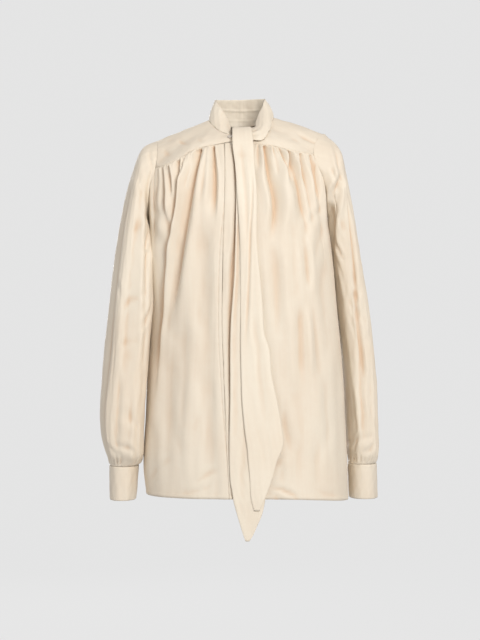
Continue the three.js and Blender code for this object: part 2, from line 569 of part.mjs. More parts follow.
// One front, from its placket seam out along the yoke and down the armhole to the side seam.
function frontPanel(side) {
  const isRight = side === right;
  const seamColumn = isRight ? "seam" : "underSeam";
  const armholeX = armholePoint(side, side.seamTurn).x;
  const startT = (PLACKET[0][seamColumn] - side.start) / (armholeX - side.start);
  const tops = steps(FRONT_COLUMNS).map((t) => frontSeam(side, mix(startT, 1, t)));
  const topFacing = tops.map(seamFacing);
  topFacing[FRONT_COLUMNS] = armholeFacing(side, side.seamTurn);
  for (const turn of armholeTurns(side).front.slice(1)) {
    tops.push(armholePoint(side, turn));
    topFacing.push(armholeFacing(side, turn));
  }
  const hemX = PLACKET[PLACKET.length - 1][seamColumn];
  const hemAngle = bodyAngle(vector(hemX, bodyDepth(hemX, HEM_Z, false), HEM_Z));
  const grid = hangingPanel(tops, hemAngle, isRight ? -Math.PI + SIDE_TURN : -SIDE_TURN, (point, top) => {
    const fromPlacket = Math.abs(point.x - read(PLACKET, "z", point.z, seamColumn));
    const folds = foldHeight(FRONT_FOLDS[side.column], point.x, point.z, top.z);
    const lap = isRight ? LAP * (1 - smooth(4, 30, fromPlacket)) * smooth(0, 30, top.z - point.z) : 0;
    return folds * smooth(0, 22, fromPlacket) * sideFade(point) + lap;
  });
  // The first column runs along the placket's seam, and the next ones make room for it.
  grid.slice(0, MAKE_ROOM).forEach((column, i) => {
    column.forEach((point) => {
      const seam = read(PLACKET, "z", point.z, seamColumn) + side.outward * (SEAM + i * ROOM_STEP);
      point.x += (seam - point.x) * (1 - i / MAKE_ROOM);
    });
  });
  grid.flat().forEach((point) => (point.y = Math.min(point.y, -SEAM / 2)));
  return wall(grid, WALL, { leftward: isRight, topFacing });
}

// The back, from the right side seam up the armhole, across under the yoke and down to the left side seam.
function backPanel() {
  const tops = [];
  const topFacing = [];
  const addArmhole = (side, turns) => {
    for (const turn of turns) {
      tops.push(armholePoint(side, turn));
      topFacing.push(armholeFacing(side, turn));
    }
  };
  addArmhole(right, armholeTurns(right).back);
  for (const t of steps(BACK_COLUMNS).slice(1, -1)) {
    tops.push(backSeam(t));
    topFacing.push(seamFacing(backSeam(t)));
  }
  addArmhole(left, armholeTurns(left).back.reverse());
  const grid = hangingPanel(tops, Math.PI - SIDE_TURN, SIDE_TURN, (point, top) =>
    foldHeight(BACK_FOLDS, point.x, point.z, top.z) * sideFade(point),
  );
  grid.flat().forEach((point) => (point.y = Math.max(point.y, SEAM / 2)));
  return wall(grid, WALL, { leftward: true, topFacing });
}

// A strip of the placket between two columns of its table, from the yoke's seam to the hem.
function placketStrip(side, fromColumn, toColumn, out) {
  const grid = steps(PLACKET_STEPS.columns).map((t) => {
    const edgeAt = (z, column) => read(PLACKET, "z", z, column);
    const xAt = (z) => mix(edgeAt(z, fromColumn) + SEAM, edgeAt(z, toColumn) - SEAM, t);
    const topZ = read(YOKE_SEAM[side.column], "x", xAt(PLACKET[0].z), "z") - SEAM;
    return steps(PLACKET_STEPS.rows).map((down) => {
      const z = mix(topZ, HEM_Z, down);
      return vector(xAt(z), bodyDepth(xAt(z), z, false) - out, z);
    });
  });
  const topFacing = grid.map((column) => seamFacing(column[0]));
  return wall(grid, WALL, { topFacing });
}

// The yoke's lower edge and the way it faces, in five equal stretches: the right front's seam, the right
// armhole, the back's seam, the left armhole and the left front's seam.
function yokeEdge(place) {
  const onSeam = (point) => ({ point, facing: seamFacing(point) });
  const onArmhole = (side, turn) => ({
    point: armholePoint(side, turn),
    facing: armholeFacing(side, turn),
  });
  const fifths = place * 5;
  if (fifths < 1) return onSeam(frontSeam(right, fifths));
  if (fifths <= 2) return onArmhole(right, mix(right.seamTurn, right.backTurn - 360, fifths - 1));
  if (fifths < 3) return onSeam(backSeam(fifths - 2));
  if (fifths <= 4) return onArmhole(left, mix(left.backTurn - 360, left.seamTurn, fifths - 3));
  return onSeam(frontSeam(left, 5 - fifths));
}
const alongTable = (rows, along, at, names) => vector(...names.map((name) => read(rows, along, at, name)));
const alongNeck = (place) => alongTable(NECKLINE, "place", place, ["x", "y", "z"]);

// A point of the yoke: t runs from the neckline to the lower edge. The right front's end laps over the left.
function yokePoint(place, t) {
  const [neck, edge] = [alongNeck(place), yokeEdge(place).point];
  const [next, before] = [Math.min(place + 0.01, 1), Math.max(place - 0.01, 0)];
  const ahead = alongNeck(next).add(yokeEdge(next).point);
  const behind = alongNeck(before).add(yokeEdge(before).point);
  const out = ahead.sub(behind).cross(edge.clone().sub(neck)).normalize();
  const bulge = read(YOKE_BULGE, "place", place, "out") * Math.sin(Math.PI * t);
  const lap = LAP * (1 - smooth(0.02, 0.075, place));
  return neck.lerp(edge, t).addScaledVector(out, bulge).add(vector(0, -lap, lap * 0.4));
}
function yoke() {
  const places = [0];
  for (const [k, count] of YOKE_COLUMNS.entries())
    for (const t of steps(count).slice(1)) places.push((k + t) / YOKE_COLUMNS.length);
  const grid = places.map((place) => steps(YOKE_ROWS).map((t) => yokePoint(place, t)));
  const footFacing = places.map((place) => yokeEdge(place).facing);
  return wall(grid, WALL, { leftward: true, footFacing });
}

// The standing band, from its right front end round the back to where the strip begins.
function bandPoint(place, t) {
  const foot = alongNeck(place);
  const top = alongTable(BAND_TOP, "place", place, ["x", "y", "z"]);
  foot.addScaledVector(top.clone().sub(foot).normalize(), BAND_RISE);
  const out = vector(foot.x, foot.y - NECK_MIDDLE_Y, 0).normalize();
  const bulge = read(BAND_TOP, "place", place, "out") * Math.sin(Math.PI * t);
  return top.lerp(foot, t).addScaledVector(out, bulge);
}
function collarBand() {
  const ends = [BAND_TOP[0].place, BAND_TOP[BAND_TOP.length - 1].place];
  const grid = steps(BAND_STEPS.columns).map((t) =>
    steps(BAND_STEPS.rows).map((down) => bandPoint(mix(...ends, t), down)),
  );
  return wall(grid, WALL, { leftward: true });
}
function tieStrip() {
  const bandEnd = BAND_TOP[BAND_TOP.length - 1].place;
  const startAt = (t) => {
    const end = bandPoint(bandEnd, t);
    return end.addScaledVector(end.clone().sub(bandPoint(bandEnd - 0.01, t)).normalize(), STRIP_GAP);
  };
  const [[lowX, lowY, lowZ], [topX, topY, topZ]] = [startAt(1).toArray(), startAt(0).toArray()];
  const rows = [{ run: 0, lowX, lowY, lowZ, topX, topY, topZ, out: 5 }, ...STRIP];
  const grid = steps(STRIP_STEPS.columns).map((t) => {
    const run = t * STRIP.length;
    const low = alongTable(rows, "run", run, ["lowX", "lowY", "lowZ"]);
    const top = alongTable(rows, "run", run, ["topX", "topY", "topZ"]);
    const out = vector(low.x * 0.6, -60, 34).normalize().multiplyScalar(read(rows, "run", run, "out"));
    return steps(STRIP_STEPS.rows).map((down) =>
      top.clone().lerp(low, down).addScaledVector(out, Math.sin(Math.PI * down)),
    );
  });
  return wall(grid, WALL, { leftward: true });
}

// A tail of the scarf, hung over the front at a distance from the body's ring, below the way it turns over.
function hangingTail(rows, tail, turnOver = []) {
  const heights = steps(tail.rows).map((t) => mix(tail.top, rows[rows.length - 1].z, t));
  const grid = steps(TAIL_COLUMNS).map((share) => {
    const xAt = (z) => mix(read(rows, "z", z, "left"), read(rows, "z", z, "right"), share);
    let folds = 0;
    for (const { across, depth, width } of TAIL_FOLDS) {
      folds += depth * Math.exp(-(((share - across) / width) ** 2));
    }
    const turned = turnOver.map(({ y, z, shift }) => vector(xAt(z) + shift, y, z));
    const hung = heights.map((z) => {
      const out = tail.stand + tail.relief * folds * smooth(tail.top, tail.top - 60, z);
      return vector(xAt(z), bodyDepth(xAt(z), Math.max(z, HEM_Z), false) - out, z);
    });
    return [...turned, ...hung];
  });
  return wall(grid, TAIL_WALL);
}

// A point of a sleeve: turn 0 is its outer side, 90 the front, 180 the side by the body.
function sleevePoint(side, step, turn) {
  const [c, s] = [Math.cos(radians(turn)), Math.sin(radians(turn))];
  const hole = sleeveHead(side, turn);
  if (step === 0) return hole;
  const at = (column) => read(SLEEVE[side.column], "ring", Math.max(step, 1), column);
  const [along, across] = [signedPower(c, 2 / SLEEVE_SQUARENESS), signedPower(s, 2 / SLEEVE_SQUARENESS)];
  let folds = 0;
  for (const fold of SLEEVE_FOLDS[side.column]) {
    const line = mix(fold.turn, fold.footTurn, clamp((step - fold.from) / (fold.to - fold.from), 0, 1));
    const off = (((turn - line + 540) % 360) - 180) / fold.width;
    const rise = smooth(fold.from, fold.from + FOLD_FADE, step);
    const fade = smooth(fold.to, fold.to - FOLD_FADE, step);
    folds += fold.depth * rise * fade * trough(off);
  }
  const out = side.outward * (folds * c * Math.abs(c) - at("lean") * across);
  const point = vector(
    (at("outX") + at("inX")) / 2 + (along * (at("outX") - at("inX"))) / 2 + out,
    at("mid") - across * (at("depth") + folds * Math.abs(s)),
    (at("outZ") + at("inZ")) / 2 + (along * (at("outZ") - at("inZ"))) / 2,
  );
  return step < 1 ? hole.lerp(point, step) : point;
}
function sleeve(side) {
  const { top, front, back } = armholeTurns(side);
  const turns = [...top.reverse(), ...front.slice(1), ...back.slice(1, -1)];
  const grid = turns.map((turn) => SLEEVE_STEPS.map((step) => sleevePoint(side, step, turn)));
  const topFacing = turns.map((turn) => armholeFacing(side, turn));
  const footFacing = turns.map((turn) =>
    vector(side.outward * Math.cos(radians(turn)), -Math.sin(radians(turn)), 0).normalize(),
  );
  return wall(grid, WALL, { loop: true, leftward: side === SIDES.left, topFacing, footFacing });
}

// A cuff: its first end lies under its last end, which laps over it.
function cuffPoint(side, turn, down, out) {
  const cuff = CUFFS[side.column];
  const [c, s] = [Math.cos(radians(turn)), Math.sin(radians(turn))];
  const [outX, inX] = [mix(cuff.topOut, cuff.bottomOut, down), mix(cuff.topIn, cuff.bottomIn, down)];
  return vector(
    (outX + inX) / 2 + signedPower(c, 2 / SLEEVE_SQUARENESS) * ((outX - inX) / 2 + side.outward * out),
    cuff.mid - signedPower(s, 2 / SLEEVE_SQUARENESS) * (cuff.depth + out),
    mix(CUFF.top, CUFF.bottom, down),
  );
}
function cuff(side) {
  const grid = steps(CUFF_COLUMNS).map((t) => {
    const turn = mix(CUFF.lapStart, CUFF.lapStart + 360 + CUFF.lapTurn, t);
    const lift = CUFF.lapLift * smooth(CUFF.lapStart + 325, CUFF.lapStart + 356, turn);
    return steps(2).map((down) => cuffPoint(side, turn, down, lift));
  });
  return wall(grid, CUFF_WALL, { leftward: side === SIDES.left });
}

// A sewn-on button: a disc with a raised rim and a dished middle. Its back lies on the cloth.
function button({ radius, thickness }) {
  const profile = BUTTON_PROFILE.map(({ r, h }) => new THREE.Vector2(r * radius, h * thickness));
  return new THREE.LatheGeometry(profile, BUTTON_SEGMENTS);
}
const materials = {
  cream: new THREE.MeshStandardMaterial({ color: CREAM, roughness: 0.55, metalness: 0 }),
  pearl: new THREE.MeshStandardMaterial({ color: PEARL, roughness: 0.25, metalness: 0.1 }),
};
function piece(name, geometry, material = materials.cream) {
  const mesh = new THREE.Mesh(geometry, material);
  mesh.name = name;
  return mesh;
}
// A button on a sheet of cloth, where the sheet is a function of two places along it.
function buttonOn(name, size, sheet, u, v, leftward) {
  const along = sheet(u + 0.005, v).sub(sheet(u - 0.005, v));
  const down = sheet(u, v + 0.05).sub(sheet(u, v - 0.05));
  const facing = along.cross(down).normalize().multiplyScalar(leftward ? 1 : -1);
  const mesh = piece(name, button(size), materials.pearl);
  mesh.position.copy(sheet(u, v)).addScaledVector(facing, size.gap);
  mesh.quaternion.setFromUnitVectors(vector(0, 1, 0), facing);
  return mesh;
}

const blouse = new THREE.Group();
blouse.add(piece("yoke", yoke()));
blouse.add(piece("front_right", frontPanel(right)));
blouse.add(piece("front_left", frontPanel(left)));
blouse.add(piece("back", backPanel()));
blouse.add(piece("placket_right", placketStrip(right, "seam", "edge", LAP)));
blouse.add(piece("placket_left", placketStrip(left, "underEdge", "underSeam", 0)));
blouse.add(piece("collar_band", collarBand()));
blouse.add(piece("tie_strip", tieStrip()));
blouse.add(piece("tail_front", hangingTail(FRONT_TAIL, TAILS.front, TAIL_TURN)));
blouse.add(piece("tail_rear", hangingTail(REAR_TAIL, TAILS.rear)));
for (const [name, side] of Object.entries(SIDES)) {
  blouse.add(piece(`sleeve_${name}`, sleeve(side)));
  blouse.add(piece(`cuff_${name}`, cuff(side)));
  CUFF_BUTTON.downs.forEach((down, k) => {
    const turnAt = (u) => CUFF.lapStart + 360 + CUFF_BUTTON.turn + u * 100;
    const sheet = (u, v) => cuffPoint(side, turnAt(u), v, CUFF.lapLift);
    blouse.add(buttonOn(`cuff_button_${name}_${k + 1}`, CUFF_BUTTON, sheet, 0, down, side === left));
  });
}
blouse.add(buttonOn("neck_button", NECK_BUTTON, yokePoint, NECK_BUTTON.place, NECK_BUTTON.down, true));
export default blouse;
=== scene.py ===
# Makes a hollow, filled-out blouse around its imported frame: gathered fronts and back under a yoke,
# sleeves with cuffs, and a band collar that runs on into a knotted scarf. Each piece of cloth is a thin
# sheet with its own folds, gathers, seams and stitches. Tables are in millimetres, in the frame of the
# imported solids: +Z up, the front faces -Y, and the blouse's own right side is at -X. Meshes are in metres.
import math

import bpy
import numpy as np
from bpy.props import FloatProperty, FloatVectorProperty, PointerProperty
from mathutils import Matrix, Vector


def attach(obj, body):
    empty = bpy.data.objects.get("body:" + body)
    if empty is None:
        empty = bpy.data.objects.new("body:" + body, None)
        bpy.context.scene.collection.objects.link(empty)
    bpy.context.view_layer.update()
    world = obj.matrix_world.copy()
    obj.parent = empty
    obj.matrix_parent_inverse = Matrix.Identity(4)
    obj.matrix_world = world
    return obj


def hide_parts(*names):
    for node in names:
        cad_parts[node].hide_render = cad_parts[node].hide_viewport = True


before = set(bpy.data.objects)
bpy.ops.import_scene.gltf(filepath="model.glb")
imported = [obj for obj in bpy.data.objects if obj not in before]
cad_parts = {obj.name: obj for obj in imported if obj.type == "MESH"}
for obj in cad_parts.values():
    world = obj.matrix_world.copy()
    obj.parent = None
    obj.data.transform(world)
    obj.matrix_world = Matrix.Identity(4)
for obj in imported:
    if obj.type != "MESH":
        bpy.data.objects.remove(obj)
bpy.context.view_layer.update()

bl_info = {
    "name": "Scarf-collar blouse",
    "version": (1, 0, 0),
    "blender": (4, 5, 0),
    "location": "View3D > Sidebar > Blouse",
    "description": "Makes a blouse with a gathered front and a knotted scarf collar on its packed frame",
    "category": "Add Mesh",
}

MM = 0.001


def table(columns, *rows):
    """A table with named columns and a row for each section or fold: its first column is the place."""
    return {name: np.array(values, float) for name, values in zip(columns.split(), zip(*rows))}


# The body's rings: half widths at the right and left side, and depths to the front and back.
BODY = table(
    "z right left front back",
    (-40, -163, 150, 70, 78),
    (-60, -165, 152, 82, 88),
    (-100, -168, 155, 102, 99),
    (-150, -171, 162, 116, 106),
    (-200, -171, 166, 123, 108),
    (-260, -170, 175, 125, 107),
    (-355, -168, 184, 125, 105),
    (-436, -172, 192, 125, 106),
    (-500, -177, 197, 126, 108),
    (-570, -180, 200, 127, 110),
    (-660, -184, 205, 129, 113),
    (-727, -178, 207, 131, 115),
)
SQUARENESS = 2.7  # exponent of the body's rings: 2 is an ellipse
HEM_Z = -715.5
HEM_DROP_LEFT = 11.0  # how much lower the hem hangs at the left side
HEM_DROP_BACK = 6.0  # and at the back
HEM_TURN_UP = 8.0  # depth of the turned-up hem, where its stitches run

# The armholes' distance to the side: turn 0 is the shoulder's tip, 90 the front, 180 the underarm.
ARMHOLE_SIDE = table(
    "turn right left",
    (0, -160, 164),
    (50, -157, 141),
    (75, -160, 143),
    (98, -169, 157),
    (140, -172, 164),
    (180, -171, 166),
    (225, -166, 163),
    (265, -160, 156),
    (290, -156, 151),
    (330, -157, 156),
    (360, -160, 164),
)
ARMHOLE_HEIGHT = 154.0
ARMHOLE_FRONT = 58.0  # how far the armhole reaches to the front of its middle
ARMHOLE_BACK = 66.0


class Side:
    """One side of the blouse: its armhole's top, where the yoke's seams end on it, and the front's edge."""

    def __init__(self, name, outward, top, seam_turn, back_turn, start):
        self.name = name
        self.outward = outward
        self.top = top
        self.seam_turn = seam_turn
        self.back_turn = back_turn
        self.start = start


RIGHT = Side("right", -1, -43.0, 74.0, 290.0, 2.0)
LEFT = Side("left", 1, -30.0, 64.0, 290.0, -10.0)

# The neckline from the right front's end, round the back, to the left front's end.
NECKLINE = table(
    "place x y z",
    (0.0, 2, -69, -39),
    (0.07, -19, -66, -37.5),
    (0.12, -36, -60, -31),
    (0.2, -50, -43, -19),
    (0.3, -59, -16, -5),
    (0.4, -53, 26, 1),
    (0.5, 1, 55, 1),
    (0.6, 57, 26, 3),
    (0.7, 64, -14, 0),
    (0.8, 53, -42, -19),
    (0.88, 38, -60, -31),
    (0.93, 21, -66, -38),
    (1.0, -10, -66.5, -39),
)

# How far the yoke bulges out between the neckline and its lower edge.
YOKE_BULGE = table(
    "place out",
    (0.0, 1),
    (0.1, 4),
    (0.2, 7),
    (0.3, 1),
    (0.4, 7),
    (0.5, 9),
    (0.6, 7),
    (0.7, 3),
    (0.8, 7),
    (0.9, 4),
    (1.0, 1),
)

# The line where each front is sewn to the yoke.
YOKE_SEAM = {
    "right": table(
        "x z",
        (-158, -101),
        (-149, -95.5),
        (-119, -84),
        (-111, -79),
        (-82, -65.5),
        (-50, -59),
        (-19, -53.5),
        (5, -53),
    ),
    "left": table(
        "x z",
        (-12, -55.5),
        (20, -56),
        (46, -57.5),
        (71, -62),
        (106, -69),
        (133, -71),
        (145, -73),
    ),
}
BACK_SEAM_DIP = 4.0  # how far the yoke's back seam sags in its middle
YOKE_STITCH = 1.8  # how far the stitches lie from the yoke's edge

# The line from yoke to hem where the right front meets its placket, and the free edges behind the scarf.
PLACKET = table(
    "z seam edge underSeam underEdge",
    (-54, -29, 4, 7, -25),
    (-135, -28.5, 4, 7, -25),
    (-260, -32, 1, 4, -28),
    (-395, -33.5, 0, 3, -29),
    (-470, -31, 2, 5, -27),
    (-550, -28, 5, 8, -24),
    (-636, -24, 9, 12, -20),
    (-715, -20, 13, 16, -16),
)
LAP = 2.4  # how far a lapped layer stands out from the layer under it
SIDE_GAP = 2e-4  # the turn between a front or the back and the side seam
SIDE_FADE = 0.22  # the folds die away where the sine of the turn is below this
SIDE_ALLOWANCE = (0.8, 2.6)  # how far the side seam's allowance goes on inwards and to the back
FRONT_WIDTH = 135.2  # across a front from its placket to the armhole
EVEN_ROWS = 0.3  # how evenly a panel's rows are spaced, from 0 to 1
ROW_CROWDING = 1.6  # how much closer together the other rows are at the top
MISS_FADE = 0.3  # share of the drop over which a panel comes back to the body's ring
PLACKET_SHARE = 5 / 26  # share of that width over which a front's columns follow its placket
# The trough along the scarf's left edge in the view, where the fronts sink in.
SCARF_TROUGH = table(
    "z x depth",
    (-56, -10, 3.0),
    (-90, -7, 6.5),
    (-150, -4, 8.0),
    (-220, -7, 8.0),
    (-300, -14, 7.0),
    (-420, -17, 6.0),
    (-560, -15, 5.0),
    (-715, -10, 4.0),
)

# The collar band's upper edge, above the places of the neckline, and how far the band bulges out.
BAND_TOP = table(
    "place x y z out",
    (0.07, -17, -38, -22, 1),
    (0.12, -26, -31, 0, 2),
    (0.2, -38, -18, 21, 2),
    (0.3, -46.5, 0, 35, 2),
    (0.4, -42, 27, 40, 2),
    (0.5, 1, 47, 43, 2),
    (0.6, 44, 27, 42, 2),
    (0.7, 47.5, 1, 37, 4),
    (0.74, 46, -6, 33, 4),
)
BAND_RISE = 0.7  # how far the band's foot stands above the neckline
BAND_TUCK = 12.0  # how far the band goes on down inside the yoke at the back
NECK_MIDDLE_Y = 8.0
# Seams that run along the inside of the band, at the back: z and depth.
COLLAR_SEAMS = ((22.0, 1.3), (2.5, 1.0))
# Pleats along the strip: the share of the height where each lies, its rise and its width.
COLLAR_PLEATS = ((0.38, -1.7, 0.075), (0.7, -1.2, 0.07), (0.52, 0.9, 0.08))

# The strip that crosses from the band's left end to the middle: its lower edge, upper edge and bulge.
STRIP = table(
    "run lowX lowY lowZ topX topY topZ out",
    (1, 59.5, -48, -21, 42, -15, 21, 5),
    (2, 52.6, -69, -35, 34, -25, 4, 6),
    (3, 42, -82, -49.5, 29, -37, -13, 8),
    (4, 24, -84.5, -50, 24.5, -47, -22, 6),
    (5, -6, -86, -50, -8, -58, -28, 5),
)

# The scarf's tails: their side edges below the neck.
TAIL_EDGES = {
    "tail_front": table(
        "z left right",
        (-23, -14.6, 21),
        (-60, -14, 25),
        (-101, -9, 27),
        (-154, -5.5, 31),
        (-240, 0, 31),
        (-353, 1, 41),
        (-410, 1, 45),
        (-441, 1, 54),
        (-487, 2, 58.6),
        (-540, 4, 69.5),
        (-593, 9, 78.5),
        (-618, 12.8, 79.4),
        (-646, 15, 67.7),
        (-679, 18, 58.6),
        (-712, 20, 46),
        (-735.5, 26, 36),
    ),
    "tail_rear": table(
        "z left right",
        (-52.4, -6, 24),
        (-101, -7, 25),
        (-176, -7.3, 27),
        (-296, -10, 34),
        (-342, -13.2, 38),
        (-388, -16.8, 42),
        (-441, -18.3, 49),
        (-532, -18.3, 60),
        (-620, -20, 66),
        (-679, -18.3, 54),
        (-701, -14.6, 47.5),
        (-719, -12, 46),
        (-743, -5.5, 40.5),
        (-765, 1, 31),
        (-781, 6, 24),
        (-792, 10, 17),
    ),
}
# The way of the front tail from behind the strip, over its upper edge and down, and its shift to the left.
TAIL_TURN = table(
    "step y z shift",
    (0, -42, -42, -4),
    (1, -46, -30, -2),
    (2, -53, -22.6, 0),
    (3, -67, -24.5, 0),
    (4, -82, -35, 0),
    (5, -92, -49, 0),
    (6, -97, -63, 0),
)

# Long folds of the tails: the share of the width where each lies and how far it drifts, and how far down
# it starts and ends.
TAIL_FOLD_COLUMNS = "across drift depth width start end"
TAIL_FOLDS = {
    "tail_front": table(
        TAIL_FOLD_COLUMNS,
        (0.8, -0.56, 1.6, 0.07, 130, 480),
        (0.4, 0.1, 1.4, 0.16, 60, 330),
        (0.62, 0.0, 1.2, 0.14, 380, 660),
    ),
    "tail_rear": table(
        TAIL_FOLD_COLUMNS,
        (0.14, 0.02, 1.8, 0.08, 120, 600),
        (0.3, 0.03, 1.4, 0.09, 300, 690),
    ),
}
TAIL_FOLD_RISE = 70.0  # the length over which a tail's fold rises
TAIL_FOLD_FALL = 90.0  # and falls away
# Where each tail starts, how far it stands out from the body, and whether it turns over the strip.
TAILS = {
    "tail_front": {"top": -80.0, "stand": 9.4, "turned": True},
    "tail_rear": {"top": -52.4, "stand": 5.8, "turned": False},
}

# The sleeves' rings: outermost and innermost point, half depth, the middle and the lean of the front.
SLEEVE = {
    "right": table(
        "ring outX outZ inX inZ depth mid lean",
        (1, -186, -57.5, -172, -203, 63, 0, 0),
        (2, -202, -93, -170, -213, 63, -5, 5),
        (3, -212, -138, -170.5, -232, 62, -12, 12),
        (4, -222.5, -205, -170.5, -265, 60, -20, 21),
        (5, -232.5, -280, -171.5, -312, 58, -28, 27),
        (6, -240.5, -355, -170.5, -363, 57, -33, 29),
        (7, -248.5, -436, -176, -438, 57, -35, 29),
        (8, -255.5, -505, -181, -505, 58, -35, 28),
        (9, -260.5, -560, -184, -560, 59, -34, 24),
        (10, -258, -606, -185, -607, 59, -31, 18),
        (11, -252, -637, -184.5, -638, 56, -27, 11),
        (12, -249.5, -653, -187, -653, 50, -22, 4),
        (13, -248, -661.8, -194, -661.8, 45, -20, 0),
    ),
    "left": table(
        "ring outX outZ inX inZ depth mid lean",
        (1, 187, -52.5, 169.5, -191, 64, 3, 0),
        (2, 200, -92, 169, -204, 65, 8, -2),
        (3, 207.5, -143, 169.5, -230, 65, 14, -8),
        (4, 215.5, -207, 174.5, -265, 65, 21, -15),
        (5, 228, -288, 181, -315, 66, 28, -19),
        (6, 239, -357, 187, -368, 67, 32, -20),
        (7, 249.5, -440, 196.5, -442, 68, 35, -20),
        (8, 254.5, -505, 201.5, -506, 68, 36, -19),
        (9, 258, -562, 205, -562, 68, 36, -16),
        (10, 260.5, -606, 207.5, -607, 65, 35, -13),
        (11, 263, -637, 209.5, -638, 59, 33, -8),
        (12, 264, -653, 211, -653, 51, 30, -3),
        (13, 263.5, -661.8, 209, -661.8, 46, 29, 0),
    ),
}
SLEEVE_SQUARENESS = 2.25
FLAT_FRONT = 0.95  # how much squarer the sleeves are between the cap and the cuff
FRONT_LEAN = 0.35  # share of the lean that the flattened front keeps
OUTER_SPREAD = 0.14  # share of the lean by which the outer side is wider for it
INNER_SPREAD = 0.06  # and the inner side
LAST_RING = 13
# The sleeve's allowance inside the armhole: how far each row goes on and how far inwards.
SLEEVE_ALLOWANCE = ((2.8, 1.3), (0.9, 0.15))

# The cuffs: their widest points at the top and bottom, half depth and middle.
CUFFS = {
    "right": {
        "topOut": -249,
        "topIn": -193,
        "bottomOut": -248,
        "bottomIn": -198,
        "depth": 45,
        "mid": -20,
        "bottom": -726.0,
    },
    "left": {
        "topOut": 265,
        "topIn": 209,
        "bottomOut": 266,
        "bottomIn": 211,
        "depth": 46,
        "mid": 29,
        "bottom": -728.0,
    },
}
CUFF_TOP = -661.8
CUFF_LAP_START = 232.0  # degrees round the cuff where its under end lies
CUFF_LAP_TURN = 24.0
CUFF_LAP_LIFT = 2.6
CUFF_LAP_RISE = (325.0, 356.0)  # degrees past the start between which its last end is lifted
CUFF_STITCH = 5.0  # how far the stitches lie from the cuff's edges
CUFF_MIDDLE_X = 228.0  # about how far a cuff's middle is from the blouse's middle

# A button's shape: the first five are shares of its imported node's radius, the others of its thickness.
BUTTON = {
    "radius": 0.97,
    "rim": 0.24,
    "slope": 0.1,
    "spread": 0.27,
    "hole": 0.11,
    "depth": 0.72,
    "dish": 0.22,
    "floor": 0.06,
    "bevel": 0.12,
    "rise": 0.4,
}
TUBE_SIDES = 6

# Folds that hang from the yoke's seam, seen from the front: each is a trough along four places, with a soft
# ridge on each side. A skew over 0 makes its side at +X the steeper one.
FOLD_COLUMNS = "x1 z1 x2 z2 x3 z3 x4 z4 depth width skew"
SEWN_FOLDS = {
    "front_right": table(
        FOLD_COLUMNS,
        (-49, -61, -46, -133, -46, -164, -47, -210, 10.5, 7.5, 0.45),
        (-61, -64, -67, -100, -71, -140, -77, -186, 4.5, 8.5, 0.2),
        (-76, -69, -91, -133, -106, -207, -137, -420, 15.0, 13.0, 0.15),
        (-91, -75, -97, -105, -103, -127, -108, -156, 5.0, 4.6, 0.2),
        (-107, -79, -109, -96, -112, -112, -115, -138, 4.6, 4.0, 0.1),
        (-115, -82, -118, -146, -142, -271, -162, -560, 11.5, 8.2, 0.35),
        (-133, -92, -131, -123, -130, -138, -130, -176, 7.0, 4.6, 0.1),
        (-145, -96, -143, -131, -141, -164, -137, -226, 7.5, 5.0, 0.2),
        (-154, -98, -154, -126, -156, -150, -158, -180, 3.2, 4.0, 0.0),
        (-38, -58, -38, -84, -38, -100, -38, -124, 2.0, 3.6, 0.0),
    ),
    "front_left": table(
        FOLD_COLUMNS,
        (47, -59, 56, -114, 67, -173, 60, -246, 13.0, 9.5, -0.1),
        (60, -62, 66, -90, 70, -108, 74, -140, 5.0, 5.2, 0.0),
        (73, -64, 84, -90, 90, -105, 95, -140, 8.5, 5.2, -0.2),
        (94, -69, 103, -108, 114, -147, 124, -232, 15.0, 9.0, 0.3),
        (115, -71, 120, -112, 128, -155, 136, -224, 10.5, 7.2, 0.2),
        (133, -74, 138, -99, 142, -123, 147, -176, 7.0, 5.2, 0.1),
        (34, -58, 34, -80, 35, -96, 36, -116, 2.0, 4.0, 0.0),
        (84, -66, 92, -82, 97, -92, 101, -108, 3.0, 3.4, 0.0),
    ),
    "back": table(
        FOLD_COLUMNS,
        (-128, -100, -131, -140, -134, -180, -138, -240, 4.5, 5.0, 0.1),
        (-112, -100, -116, -180, -124, -270, -134, -430, 7.0, 7.0, 0.2),
        (-94, -102, -96, -135, -98, -160, -101, -200, 4.0, 4.4, 0.0),
        (-79, -103, -82, -160, -88, -230, -95, -330, 5.5, 6.0, 0.2),
        (-64, -104, -65, -130, -66, -150, -68, -186, 4.0, 4.2, 0.0),
        (-50, -104, -53, -190, -57, -330, -62, -560, 8.0, 7.5, 0.1),
        (-34, -105, -35, -140, -36, -175, -37, -230, 4.5, 4.6, 0.0),
        (-20, -105, -21, -160, -22, -220, -24, -320, 5.0, 5.4, 0.0),
        (-4, -105, -3, -190, 0, -320, 5, -530, 7.5, 7.5, -0.1),
        (12, -105, 13, -135, 14, -165, 15, -206, 4.2, 4.2, 0.0),
        (27, -105, 29, -160, 31, -230, 34, -330, 5.5, 5.6, 0.0),
        (42, -104, 44, -130, 46, -156, 48, -196, 4.0, 4.2, 0.0),
        (55, -104, 58, -200, 62, -350, 68, -600, 8.0, 8.0, -0.2),
        (72, -103, 75, -140, 78, -175, 82, -226, 4.5, 4.6, 0.0),
        (88, -102, 92, -160, 97, -230, 104, -330, 5.5, 6.0, -0.1),
        (105, -100, 109, -150, 114, -200, 120, -270, 4.8, 5.0, 0.0),
        (121, -98, 127, -180, 136, -300, 148, -480, 7.0, 7.0, -0.3),
        (136, -96, 140, -130, 144, -160, 148, -204, 3.6, 4.4, 0.0),
    ),
}
